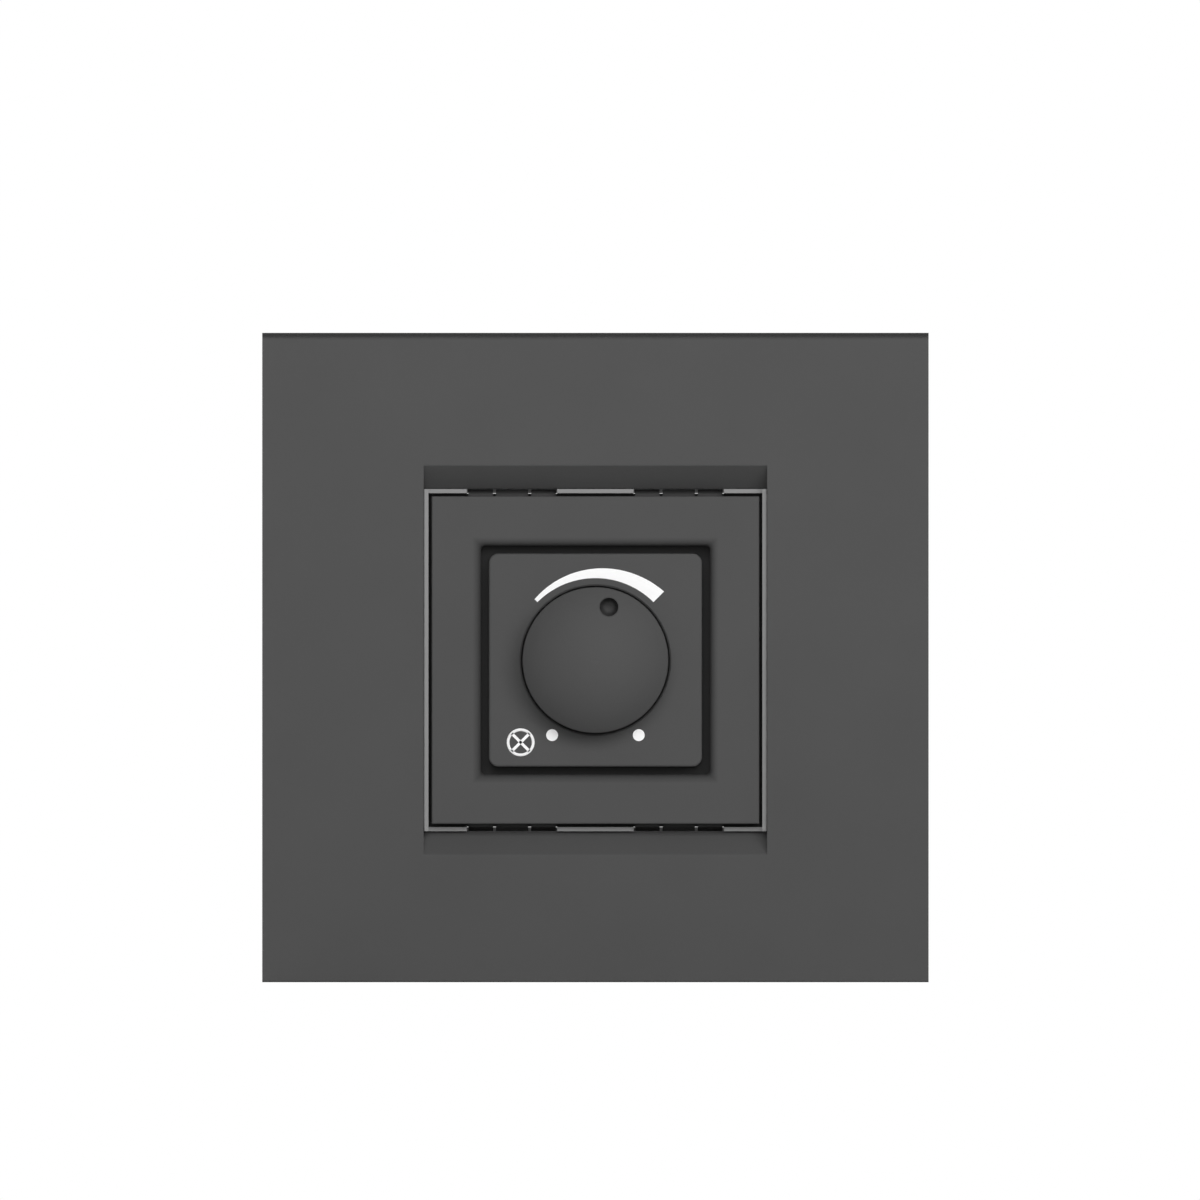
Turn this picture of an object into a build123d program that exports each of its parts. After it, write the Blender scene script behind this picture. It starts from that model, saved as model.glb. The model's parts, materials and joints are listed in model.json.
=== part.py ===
from build123d import *
import math
import os

# Rotary dimmer for a two-module wall plate, in millimetres.
# +Z is up, the front faces -Y and the wall's surface is the plane y = 0.
# A "front" is a distance before the wall: a front of 9.5 lies at y = -9.5.
# Clearances and walls are per side.

# Module system
module_pitch = 22.5
aperture_play = 0.05
front_play = 0.375

# Cover plate
plate_width = 90.0
plate_rise = 44.2
plate_drop = 43.5
plate_front = 9.5
plate_wall = 1.8
plate_side_round = 0.25
plate_bottom_round = 0.3
roll_height = 0.8
roll_depth = 3.0
opening_clearance = 0.1
ramp_run = 3.1
ramp_depth = 3.4
ramp_wall = 1.7
ramp_round = 0.4

# Support frame
flange_gap = 2.2
flange_thickness = 2.0
flange_corner = 4.0
flange_rib_wall = 1.0
flange_rib_height = 2.6
cross_rib_offset = 13.0
collar_wall = 1.65
lip_wall = 0.55
lip_front = 8.6
lip_end_proud = 1.0
frame_clearance = 0.3
screw_spacing = 60.3
slot_radius = 2.0
slot_length = 7.0

# Snap between the plate's sides and the frame's edge
snap_length = 12.0
snap_offset = 20.0
snap_front = 3.3
snap_play = 0.1
snap_depth = 1.0
snap_bite = 0.4

# Spring latches of the module, and the rim that stops it from behind
latch_width = 11.8
latch_play = 0.2
finger_thickness = 0.75
finger_length = 8.0
finger_slit = 0.4
finger_room = 0.85
finger_root = 2.0
finger_clearance = 0.05
slit_spacing = 4.75
catch_front = 3.0
wing_reach = 2.6
hook_reach = 1.6
catch_flat = 1.1
rim_depth = 0.95
rim_bite = 0.85
seat_depth = 1.0

# Front frame of the module
front_face = 9.2
front_wall = 2.2
front_round = 0.25
front_border = 6.675
window_corner = 0.6
window_round = 0.8
window_wall = 1.4
well_floor_wall = 1.0
tab_width = 12.0
tab_wall = 1.1
tab_length = 4.4
tab_gap = 0.2
tab_catch = 2.4
tab_barb = 1.0
tab_barb_depth = 1.2
tab_play = 0.15

# Scale plate with the knob's cup
trench = 1.05
scale_front = 8.6
scale_wall = 1.4
scale_corner = 1.3
scale_round = 0.35
cup_depth = 5.2
cup_wall = 1.05
cup_floor = 1.2
cup_bevel = 0.2
cup_clearance = 0.3

# Knob
knob_radius = 9.85
knob_gap = 0.2
knob_crown = 16.5
knob_round = 0.35
knob_wall = 1.5
cap_wall = 2.4
knob_lift = 0.8
dome_radius = 13.5
dome_wall = 2.8
hub_radius = 4.6
hub_gap = 0.35
dimple_reach = 7.4
dimple_radius = 1.25
dimple_sink = 0.1
dimple_depth = 2.2
rest_turn = 14.3

# Shaft, its snap ring and the leaf spring on its flat
shaft_radius = 3.0
shaft_flat = 1.5
shaft_play = 0.03
shaft_end_gap = 0.1
bore_play = 0.05
flat_room = 0.5
tail_radius = 2.2
shaft_collar_radius = 4.0
shaft_collar = 0.8
axial_play = 0.1
ring_radius = 4.3
ring_thickness = 0.5
ring_groove = 0.5
ring_mouth = 3.6
spring_thickness = 0.3
spring_width = 3.2
spring_length = 4.6
spring_play = 0.03

# Potentiometer
bushing_radius = 3.5
bushing_proud = 0.5
bushing_clearance = 0.1
thread_play = 0.02
nut_width = 10.0
nut_thickness = 2.2
washer_radius = 5.8
washer_thickness = 0.5
pot_radius = 7.2
pot_plate = 1.2
can_wall = 0.4
can_depth = 5.9
rotor_radius = 5.6
rotor_thickness = 1.8
stop_radius = 5.9
stop_bite = 0.6
turn_range = 300.0
stop_width = 30.0
stop_margin = 0.8
wafer_thickness = 1.0
wafer_play = 0.1
wafer_tab_width = 11.0
wafer_tab_reach = 10.4
wiper_thickness = 0.3
wiper_ring = 4.6
wiper_bore_play = 0.1
finger_reach = 5.4
contact_width = 1.0
contact_gap = 0.05
pin_width = 1.0
pin_thickness = 0.6
pin_play = 0.02
pin_pitch = 4.0
pin_edge = 1.4
pin_proud = 0.3

# Heat sink and its screws
sink_thickness = 1.5
sink_gap = 0.3
sink_corner = 1.0
screw_radius = 1.25
screw_play = 0.15
screw_head_radius = 2.2
screw_head = 1.6
screw_length = 7.5
stack_clearance = 0.2

# Triac, bolted to the back of the heat sink
triac_width = 10.0
triac_body = 9.2
triac_thickness = 4.4
triac_tab = 6.3
triac_tab_thickness = 1.3
triac_gap = 0.3
triac_drop = 5.8
triac_hole_edge = 2.8
triac_hole_radius = 1.8
triac_screw_radius = 1.5
triac_screw_head_radius = 2.75
triac_screw_head = 2.0
lead_pitch = 2.54
lead_width = 0.8
lead_thickness = 0.5
lead_level = 2.6
lead_drop = 2.8

# Circuit board
board_gap = 3.1
board_edge = 0.5
board_thickness = 1.6
board_notch = 0.4
board_ledge = 1.8
board_ledge_width = 6.0
lead_tail = 0.9
lead_play = 0.15

# Parts on the back of the board: centres as right and up, or as distances from the board's side and up
choke_centre = (-8.0, 7.0)
choke_outer = 7.0
choke_inner = 3.6
choke_height = 6.0
choke_wire = 0.7
choke_turns = 15
choke_wound = 330.0
choke_play = 0.05
filter_centre = (8.0, 8.5)
filter_size = (12.0, 9.0)
filter_height = 11.0
filter_bevel = 0.5
timing_centre = (6.5, 0.5)
timing_size = (7.0, 3.0)
timing_height = 7.0
timing_bevel = 0.3
resistor_edge = 9.7
resistor_ups = (-4.0, -8.0)
resistor_radius = 1.15
resistor_length = 6.2
resistor_span = 10.0
diac_edge = 6.2
diac_up = -4.0
diac_radius = 0.95
diac_length = 3.8
diac_span = 7.0
wire_radius = 0.3
wire_lift = 0.2

# Housing
housing_step = 0.325
housing_wall = 1.6
housing_corner = 1.5
component_room = 14.3
post_inset = 2.6
post_radius = 3.0
pilot_depth = 9.0
vent_width = 1.5
vent_length = 14.0
vent_pitch = 4.0
vent_count = 5
vent_rise = 8.0

# Wire clamps
terminal_spacing = 16.0
block_width = 7.0
block_length = 8.0
block_depth = 8.0
block_gap = 0.7
block_pad = 2.0
pocket_wall = 1.2
pocket_play = 0.1
pocket_depth = 8.0
bore_radius = 1.6
bore_depth = 5.4
entry_radius = 2.2
clamp_screw_radius = 1.5
clamp_head_radius = 2.6
clamp_head = 2.0
clamp_head_play = 0.5
clamp_slot_width = 0.8
clamp_slot_depth = 0.9
clamp_tip_gap = 0.3
tail_width = 2.0
tail_thickness = 1.0

# Half widths across the module
aperture_half = module_pitch + aperture_play
lip_half = aperture_half + lip_wall
opening_half = lip_half + opening_clearance
front_half = module_pitch - front_play
housing_half = front_half - housing_step
housing_inner = housing_half - housing_wall
window_half = front_half - front_border
scale_half = window_half - trench
plate_half = plate_width / 2
plate_inner = plate_half - plate_wall
flange_half_width = plate_inner - flange_gap
flange_rise = plate_rise - plate_wall - flange_gap
flange_drop = plate_drop - plate_wall - flange_gap
flange_height = flange_rise + flange_drop
flange_middle = (flange_rise - flange_drop) / 2
collar_half = aperture_half + collar_wall
rim_half = aperture_half + rim_bite
sink_half = housing_inner - sink_gap
board_half = housing_inner - board_edge
post_place = housing_inner - post_inset
resistor_centres = [(resistor_edge - board_half, up) for up in resistor_ups]
diac_centre = (board_half - diac_edge, diac_up)

# Fronts, from the plate back to the housing's rear face
ramp_foot = plate_front - ramp_depth
lip_end_front = ramp_foot + lip_end_proud
collar_front = ramp_foot - ramp_wall - frame_clearance
side_collar_front = plate_front - plate_wall - frame_clearance
housing_front = front_face - front_wall
cup_bottom = scale_front - cup_depth
sink_front = cup_bottom - cup_floor
pot_face = sink_front - sink_thickness
can_front = pot_face - pot_plate
can_back = can_front - can_depth
board_front = can_back - board_gap
board_back = board_front - board_thickness
rear_inner = board_back - component_room
rear_face = rear_inner - housing_wall
well_back = sink_front + screw_head + stack_clearance
well_floor = well_back + well_floor_wall
washer_front = cup_bottom + washer_thickness
nut_front = washer_front + nut_thickness
bushing_front = nut_front + bushing_proud
ring_back = bushing_front + axial_play
ring_front = ring_back + ring_thickness
hub_back = ring_front + hub_gap
bore_end = knob_crown - dome_wall
shaft_end = bore_end - shaft_end_gap
knob_back = cup_bottom + knob_lift
dome_edge = knob_crown - dome_radius + math.sqrt(dome_radius**2 - knob_radius**2)
shaft_collar_front = can_front - axial_play
rotor_front = shaft_collar_front - shaft_collar
rotor_back = rotor_front - rotor_thickness
wafer_back = can_back + can_wall
wafer_front = wafer_back + wafer_thickness
lead_end = board_back - lead_tail


def facing(front, turn=0.0):
    """Plane parallel to the wall, seen from the front as (right, up), turned clockwise by turn degrees."""
    angle = math.radians(turn)
    right = (math.cos(angle), 0, -math.sin(angle))
    return Plane(origin=(0, -front, 0), x_dir=right, z_dir=(0, -1, 0))


def section(right=0.0, turn=0.0):
    """Upright plane square to the wall, drawn as (front, up), turned clockwise by turn degrees."""
    angle = math.radians(turn)
    across = Vector(math.cos(angle), 0, -math.sin(angle))
    return Plane(origin=across * right, x_dir=(0, -1, 0), z_dir=across * -1)


def level(up=0.0):
    """Level plane, drawn as (right, front). A profile on it revolves about the Y axis, the knob's axis."""
    return Plane(origin=(0, 0, up), x_dir=(1, 0, 0), z_dir=(0, 0, -1))


def ring_sector(inner, outer, width, middle):
    """Add a sector of a ring to the sketch: its width and the direction of its middle, in degrees."""
    start = middle - width / 2
    with BuildLine() as outline:
        low = CenterArc((0, 0), inner, start, width)
        high = CenterArc((0, 0), outer, start, width)
        Line(low @ 0, high @ 0)
        Line(low @ 1, high @ 1)
    make_face(outline.edges())


def wired_part(centre, radius, length, span):
    """Add a round part that lies on the back of the board, with both leads bent through the board."""
    right, up = centre
    axis_front = board_back - wire_lift - radius
    wire_end = board_front + lead_tail
    with BuildSketch(section(right)) as body:
        with Locations((axis_front, up)):
            Circle(radius)
    extrude(body.sketch, amount=length / 2, both=True)
    with BuildLine(level(up)) as route:
        Polyline(
            (right - span / 2, wire_end),
            (right - span / 2, axis_front),
            (right + span / 2, axis_front),
            (right + span / 2, wire_end),
        )
    with BuildSketch(route.line ^ 0) as wire:
        Circle(wire_radius)
    sweep(wire.sketch, path=route.line, transition=Transition.RIGHT)


# The cover plate is a hollow moulding with a rolled top edge and a ramp above and below its opening
with BuildPart() as cover_plate:
    with BuildSketch(section()):
        with BuildLine():
            Line((0, plate_rise), (0, -plate_drop))
            Line((0, -plate_drop), (plate_front - plate_bottom_round, -plate_drop))
            corner = (plate_front - plate_bottom_round, plate_bottom_round - plate_drop)
            CenterArc(corner, plate_bottom_round, 270, 90)
            Line((plate_front, plate_bottom_round - plate_drop), (plate_front, plate_rise - roll_height))
            roll_centre = (plate_front - roll_depth, plate_rise - roll_height)
            EllipticalCenterArc(roll_centre, roll_depth, roll_height, 0, arc_size=90)
            Line((plate_front - roll_depth, plate_rise), (0, plate_rise))
        make_face()
    extrude(amount=plate_half, both=True)
    with BuildSketch(level()) as plate_from_above:
        with Locations((0, plate_front / 2)):
            Rectangle(plate_width, plate_front)
        front_corners = plate_from_above.vertices().group_by(Axis.Y)[0]
        fillet(front_corners, plate_side_round)
    extrude(amount=plate_rise + plate_drop, both=True, mode=Mode.INTERSECT)
    with BuildSketch(facing(0)):
        with Locations((0, (plate_rise - plate_drop) / 2)):
            Rectangle(2 * plate_inner, plate_rise + plate_drop - 2 * plate_wall)
    extrude(amount=plate_front - plate_wall, mode=Mode.SUBTRACT)
    ramp_head = opening_half + ramp_run
    with BuildSketch(section()):
        with BuildLine():
            Polyline(
                (ramp_foot - ramp_wall, opening_half),
                (plate_front - plate_wall, ramp_head + ramp_wall),
                (plate_front, ramp_head + ramp_wall),
                (plate_front, opening_half),
                close=True,
            )
        make_face()
        mirror(about=Plane.XZ)
    extrude(amount=opening_half + plate_wall, both=True)
    with BuildSketch(section()):
        with BuildLine():
            Polyline(
                (0, 0),
                (0, opening_half),
                (ramp_foot, opening_half),
                (plate_front, ramp_head),
                (plate_front, 0),
                close=True,
            )
        make_face()
        mirror(about=Plane.XZ)
    extrude(amount=opening_half, both=True, mode=Mode.SUBTRACT)
    plate_face = cover_plate.faces().sort_by(Axis.Y)[0]
    ramp_tops = plate_face.inner_wires()[0].edges().filter_by(Axis.X)
    fillet(ramp_tops, ramp_round)
    ridge_middle = flange_half_width + flange_gap / 2
    for up in (-snap_offset, snap_offset):
        with BuildSketch(level(up)):
            with BuildLine():
                Polyline(
                    (plate_inner, snap_front - snap_play),
                    (ridge_middle - snap_bite / 2, snap_front - snap_play),
                    (plate_inner, snap_front - snap_play - snap_depth),
                    close=True,
                )
            make_face()
            mirror(about=Plane.YZ)
        extrude(amount=snap_length / 2, both=True)

# The support frame screws to the wall box, holds the module and carries the plate's snaps
with BuildPart() as support_frame:
    with BuildSketch(facing(0)):
        with Locations((0, flange_middle)):
            RectangleRounded(2 * flange_half_width, flange_height, flange_corner)
    extrude(amount=flange_thickness)
    with BuildSketch(facing(flange_thickness)):
        with Locations((0, flange_middle)):
            RectangleRounded(2 * flange_half_width, flange_height, flange_corner)
        offset(amount=-flange_rib_wall, mode=Mode.SUBTRACT)
    extrude(amount=flange_rib_height)
    with BuildSketch(facing(flange_thickness)):
        with GridLocations(0, 2 * cross_rib_offset, 1, 2):
            Rectangle(2 * flange_half_width - flange_rib_wall, flange_rib_wall)
        with Locations((0, flange_middle)):
            with GridLocations(2 * cross_rib_offset, 0, 2, 1):
                Rectangle(flange_rib_wall, flange_height - flange_rib_wall)
    extrude(amount=collar_front - flange_thickness)
    with BuildSketch(facing(flange_thickness)):
        Rectangle(2 * collar_half, 2 * collar_half)
    extrude(amount=collar_front - flange_thickness)
    with BuildSketch(facing(flange_thickness)):
        Rectangle(2 * collar_half, 2 * aperture_half)
    extrude(amount=side_collar_front - flange_thickness)
    with BuildSketch(facing(flange_thickness)):
        Rectangle(2 * lip_half, 2 * lip_half)
    extrude(amount=lip_end_front - flange_thickness)
    with BuildSketch(facing(flange_thickness)):
        with GridLocations(2 * aperture_half + lip_wall, 0, 2, 1):
            Rectangle(lip_wall, 2 * lip_half)
    extrude(amount=lip_front - flange_thickness)
    with BuildSketch(facing(0)):
        Rectangle(2 * aperture_half, 2 * aperture_half)
    extrude(amount=lip_front, mode=Mode.SUBTRACT)
    with BuildSketch(facing(catch_front)):
        with GridLocations(module_pitch, 2 * collar_half, 2, 2):
            Rectangle(latch_width + 2 * latch_play, 2 * (collar_half - aperture_half))
    extrude(amount=lip_front - catch_front, mode=Mode.SUBTRACT)
    with BuildSketch(facing(0)):
        Rectangle(2 * (rim_half + latch_play), 2 * (rim_half + latch_play))
    extrude(amount=seat_depth, mode=Mode.SUBTRACT)
    with BuildSketch(facing(0)):
        with GridLocations(screw_spacing, 0, 2, 1):
            SlotOverall(slot_length, 2 * slot_radius)
    extrude(amount=flange_thickness, mode=Mode.SUBTRACT)
    for up in (-snap_offset, snap_offset):
        with BuildSketch(level(up)):
            with BuildLine():
                Polyline(
                    (flange_half_width, snap_front + snap_play),
                    (ridge_middle + snap_bite / 2, snap_front + snap_play),
                    (flange_half_width, snap_front + snap_play + snap_depth),
                    close=True,
                )
            make_face()
            mirror(about=Plane.YZ)
        extrude(amount=snap_length / 2, both=True)

# The front frame closes the housing and leaves a well around the scale plate
tab_outer = housing_inner - tab_gap
tab_barb_front = housing_front - tab_catch
cup_outer = knob_radius + knob_gap + cup_wall
with BuildPart() as front_frame:
    with BuildSketch(facing(housing_front)):
        Rectangle(2 * front_half, 2 * front_half)
    extrude(amount=front_wall)
    fillet(front_frame.faces().sort_by(Axis.Y)[0].edges(), front_round)
    with BuildSketch(facing(well_back)):
        Rectangle(2 * (window_half + window_wall), 2 * (window_half + window_wall))
    extrude(amount=housing_front - well_back)
    with BuildSketch(facing(well_floor)):
        RectangleRounded(2 * window_half, 2 * window_half, window_corner)
    extrude(amount=front_face - well_floor, mode=Mode.SUBTRACT)
    fillet(front_frame.faces().sort_by(Axis.Y)[0].inner_wires()[0].edges(), window_round)
    with BuildSketch(facing(well_back)):
        Circle(cup_outer + cup_clearance)
    extrude(amount=well_floor_wall, mode=Mode.SUBTRACT)
    with BuildSketch(level()):
        with BuildLine():
            Polyline(
                (tab_outer - tab_wall, housing_front),
                (tab_outer, housing_front),
                (tab_outer, tab_barb_front),
                (tab_outer + tab_barb, tab_barb_front),
                (tab_outer, tab_barb_front - tab_barb_depth),
                (tab_outer, housing_front - tab_length),
                (tab_outer - tab_wall, housing_front - tab_length),
                close=True,
            )
        make_face()
        mirror(about=Plane.YZ)
    extrude(amount=tab_width / 2, both=True)

# The scale plate is a square cap with a round cup for the knob, clamped by the nut in the cup
with BuildPart() as scale_plate:
    with BuildSketch(facing(well_floor)):
        RectangleRounded(2 * scale_half, 2 * scale_half, scale_corner)
    extrude(amount=scale_front - well_floor)
    fillet(scale_plate.faces().sort_by(Axis.Y)[0].edges(), scale_round)
    with BuildSketch(facing(well_floor)):
        Rectangle(2 * (scale_half - scale_wall), 2 * (scale_half - scale_wall))
    extrude(amount=scale_front - scale_wall - well_floor, mode=Mode.SUBTRACT)
    with BuildSketch(facing(sink_front)):
        Circle(cup_outer)
    extrude(amount=scale_front - scale_wall - sink_front)
    with BuildSketch(facing(cup_bottom)):
        Circle(knob_radius + knob_gap)
    extrude(amount=cup_depth, mode=Mode.SUBTRACT)
    chamfer(scale_plate.faces().sort_by(Axis.Y)[0].inner_wires()[0].edges(), cup_bevel)
    with BuildSketch(facing(sink_front)):
        Circle(bushing_radius + bushing_clearance)
    extrude(amount=cup_floor, mode=Mode.SUBTRACT)

# The knob is a hollow turned form with a domed face, a dimple as its pointer and a bore with a flat
half_tilt = math.asin(knob_radius / dome_radius) / 2
dome_middle = (dome_radius * math.sin(half_tilt), knob_crown - dome_radius * (1 - math.cos(half_tilt)))
cavity_front = dome_edge - cap_wall
dimple_far = dimple_reach + dimple_radius
dimple_rim = knob_crown - dome_radius + math.sqrt(dome_radius**2 - dimple_far**2)
dimple_seat = dimple_rim - dimple_sink
with BuildPart() as knob:
    with BuildSketch(level()):
        with BuildLine():
            ThreePointArc((0, knob_crown), dome_middle, (knob_radius, dome_edge))
            Polyline(
                (knob_radius, dome_edge),
                (knob_radius, knob_back),
                (knob_radius - knob_wall, knob_back),
                (knob_radius - knob_wall, cavity_front),
                (hub_radius, cavity_front),
                (hub_radius, hub_back),
                (0, hub_back),
                (0, knob_crown),
            )
        make_face()
    revolve(axis=Axis.Y)
    dome = knob.faces().sort_by(Axis.Y)[0]
    fillet(dome.edges().sort_by(Axis.Y)[-1], knob_round)
    with BuildSketch(section(turn=rest_turn)):
        with BuildLine():
            bowl_centre = (dimple_seat, dimple_reach)
            bowl = EllipticalCenterArc(bowl_centre, dimple_depth, dimple_radius, 90, arc_size=90)
            Polyline(bowl @ 1, (knob_crown, dimple_reach), (knob_crown, dimple_far), bowl @ 0)
        make_face()
    dimple_centre = facing(0, rest_turn).from_local_coords((0, dimple_reach, 0))
    revolve(axis=Axis(dimple_centre, (0, -1, 0)), mode=Mode.SUBTRACT)
    with BuildSketch(facing(hub_back, rest_turn)):
        Circle(shaft_radius + bore_play)
        with Locations((0, shaft_flat + flat_room + shaft_radius)):
            Rectangle(3 * shaft_radius, 2 * shaft_radius, mode=Mode.SUBTRACT)
    extrude(amount=bore_end - hub_back, mode=Mode.SUBTRACT)

# The leaf spring is bowed between the shaft's flat and the knob's bore
spring_low = shaft_flat + spring_play
spring_high = shaft_flat + flat_room - spring_play
spring_back = (hub_back + shaft_end - spring_length) / 2
spring_front = spring_back + spring_length
spring_middle = (spring_back + spring_front) / 2
with BuildPart() as knob_spring:
    with BuildSketch(section(turn=rest_turn)):
        with BuildLine():
            back_end = (spring_back, spring_high)
            front_end = (spring_front, spring_high)
            ThreePointArc(back_end, (spring_middle, spring_low + spring_thickness), front_end)
            Line(front_end, (spring_front, spring_high - spring_thickness))
            inner_front = (spring_front, spring_high - spring_thickness)
            inner_back = (spring_back, spring_high - spring_thickness)
            ThreePointArc(inner_front, (spring_middle, spring_low), inner_back)
            Line(inner_back, back_end)
        make_face()
    extrude(amount=spring_width / 2, both=True)

# The shaft has a tail for the rotor, a collar behind the bushing, a ring groove and a flat
groove_radius = shaft_radius - ring_groove
with BuildPart() as pot_shaft:
    with BuildSketch(level()):
        with BuildLine():
            Polyline(
                (0, rotor_back),
                (tail_radius, rotor_back),
                (tail_radius, rotor_front),
                (shaft_collar_radius, rotor_front),
                (shaft_collar_radius, shaft_collar_front),
                (shaft_radius, shaft_collar_front),
                (shaft_radius, ring_back),
                (groove_radius, ring_back),
                (groove_radius, ring_front),
                (shaft_radius, ring_front),
                (shaft_radius, shaft_end),
                (0, shaft_end),
                close=True,
            )
        make_face()
    revolve(axis=Axis.Y)
    with BuildSketch(facing(hub_back, rest_turn)):
        with Locations((0, shaft_flat + shaft_radius)):
            Rectangle(3 * shaft_radius, 2 * shaft_radius)
    extrude(amount=shaft_end - hub_back, mode=Mode.SUBTRACT)

# The snap ring in the shaft's groove keeps the shaft from sliding back
with BuildPart() as shaft_ring:
    with BuildSketch(facing(ring_back, rest_turn)):
        Circle(ring_radius)
        Circle(groove_radius, mode=Mode.SUBTRACT)
        with Locations((0, -ring_radius / 2)):
            Rectangle(ring_mouth, ring_radius, mode=Mode.SUBTRACT)
    extrude(amount=ring_thickness)

# The rotor's lug meets the can's stop tab at both ends of the turn
lug_width = 360 - turn_range - stop_width - stop_margin
lug_radius = stop_radius + stop_bite
with BuildPart() as pot_rotor:
    with BuildSketch(facing(rotor_back, rest_turn)):
        ring_sector(tail_radius, lug_radius, lug_width, 90)
        Circle(rotor_radius)
        Circle(tail_radius, mode=Mode.SUBTRACT)
    extrude(amount=rotor_thickness)

# The wiper is a thin ring under the rotor with two sprung contacts that reach for the track
wiper_back = rotor_back - wiper_thickness
contact_back = wafer_front + contact_gap
with BuildPart() as pot_wiper:
    with BuildSketch(facing(wiper_back)):
        Circle(wiper_ring)
        Circle(tail_radius + wiper_bore_play, mode=Mode.SUBTRACT)
    extrude(amount=wiper_thickness)
    with BuildSketch(section(turn=rest_turn)):
        with BuildLine():
            Polyline(
                (rotor_back, wiper_ring - contact_width),
                (contact_back + wiper_thickness, finger_reach),
                (contact_back, finger_reach),
                (wiper_back, wiper_ring - contact_width),
                close=True,
            )
        make_face()
        mirror(about=Plane.XZ)
    extrude(amount=contact_width / 2, both=True)

# The bushing guides the shaft, and its flange closes the front of the can
with BuildPart() as pot_bushing:
    with BuildSketch(level()):
        with BuildLine():
            Polyline(
                (shaft_radius + shaft_play, can_front),
                (pot_radius, can_front),
                (pot_radius, pot_face),
                (bushing_radius, pot_face),
                (bushing_radius, bushing_front),
                (shaft_radius + shaft_play, bushing_front),
                close=True,
            )
        make_face()
    revolve(axis=Axis.Y)

# The can is pressed from sheet, with a stop tab inside and a slot for the wafer
can_inner = pot_radius - can_wall
with BuildPart() as pot_case:
    with BuildSketch(facing(can_back)):
        Circle(pot_radius)
    extrude(amount=can_depth)
    with BuildSketch(facing(wafer_back)):
        Circle(can_inner)
    extrude(amount=can_depth - can_wall, mode=Mode.SUBTRACT)
    with BuildSketch(facing(rotor_back)):
        ring_sector(stop_radius, can_inner + can_wall / 2, stop_width, 270)
    extrude(amount=rotor_thickness)
    with BuildSketch(facing(wafer_back)):
        with Locations((0, -pot_radius)):
            Rectangle(wafer_tab_width + 2 * wafer_play, pot_radius)
    extrude(amount=wafer_thickness + wafer_play, mode=Mode.SUBTRACT)

# The wafer carries the resistance track and ends in a tab with three pins
pin_up = pin_edge - wafer_tab_reach
with BuildPart() as pot_wafer:
    with BuildSketch(facing(wafer_back)):
        Circle(can_inner - wafer_play)
        with Locations((0, -wafer_tab_reach / 2)):
            Rectangle(wafer_tab_width, wafer_tab_reach)
        with Locations((0, pin_up)):
            with GridLocations(pin_pitch, 0, 3, 1):
                Rectangle(pin_width + 2 * pin_play, pin_thickness + 2 * pin_play, mode=Mode.SUBTRACT)
    extrude(amount=wafer_thickness)

with BuildPart() as pot_terminals:
    with BuildSketch(facing(lead_end)):
        with Locations((0, pin_up)):
            with GridLocations(pin_pitch, 0, 3, 1):
                Rectangle(pin_width, pin_thickness)
    extrude(amount=wafer_front + pin_proud - lead_end)

# A washer and a nut on the bushing clamp the scale plate to the heat sink
with BuildPart() as pot_washer:
    with BuildSketch(facing(cup_bottom)):
        Circle(washer_radius)
        Circle(bushing_radius + bushing_clearance, mode=Mode.SUBTRACT)
    extrude(amount=washer_thickness)

with BuildPart() as pot_nut:
    with BuildSketch(facing(washer_front)):
        RegularPolygon(nut_width / 2, 6, major_radius=False)
        Circle(bushing_radius + thread_play, mode=Mode.SUBTRACT)
    extrude(amount=nut_thickness)

# The heat sink is a plate on the housing's four posts
triac_right = pot_radius + triac_gap + triac_width / 2
triac_top = triac_body + triac_tab - triac_drop
triac_hole_up = triac_top - triac_hole_edge
with BuildPart() as heat_sink:
    with BuildSketch(facing(pot_face)):
        RectangleRounded(2 * sink_half, 2 * sink_half, sink_corner)
        Circle(bushing_radius + bushing_clearance, mode=Mode.SUBTRACT)
        with GridLocations(2 * post_place, 2 * post_place, 2, 2):
            Circle(screw_radius + screw_play, mode=Mode.SUBTRACT)
        with Locations((triac_right, triac_hole_up)):
            Circle(triac_screw_radius + thread_play, mode=Mode.SUBTRACT)
    extrude(amount=sink_thickness)

# Four screws hold the heat sink to the posts
with BuildPart() as chassis_screws:
    with BuildSketch(facing(sink_front)):
        with GridLocations(2 * post_place, 2 * post_place, 2, 2):
            Circle(screw_head_radius)
    extrude(amount=screw_head)
    with BuildSketch(facing(sink_front - screw_length)):
        with GridLocations(2 * post_place, 2 * post_place, 2, 2):
            Circle(screw_radius)
    extrude(amount=screw_length)

# The triac lies flat on the heat sink, with its leads bent back into the board
lead_front = pot_face - lead_level
lead_low = -triac_drop - lead_drop
lead_places = [triac_right + step * lead_pitch for step in (-1, 0, 1)]
with BuildPart() as triac:
    with BuildSketch(facing(pot_face - triac_tab_thickness)):
        with Locations((triac_right, (triac_top - triac_drop) / 2)):
            Rectangle(triac_width, triac_body + triac_tab)
        with Locations((triac_right, triac_hole_up)):
            Circle(triac_hole_radius, mode=Mode.SUBTRACT)
    extrude(amount=triac_tab_thickness)
    with BuildSketch(facing(pot_face - triac_thickness)):
        with Locations((triac_right, triac_body / 2 - triac_drop)):
            Rectangle(triac_width, triac_body)
    extrude(amount=triac_thickness)
    for place in lead_places:
        with BuildSketch(section(place)):
            with BuildLine():
                Polyline(
                    (lead_front + lead_thickness / 2, -triac_drop),
                    (lead_front + lead_thickness / 2, lead_low),
                    (lead_end, lead_low),
                    (lead_end, lead_low + lead_thickness),
                    (lead_front - lead_thickness / 2, lead_low + lead_thickness),
                    (lead_front - lead_thickness / 2, -triac_drop),
                    close=True,
                )
            make_face()
        extrude(amount=lead_width / 2, both=True)

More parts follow.
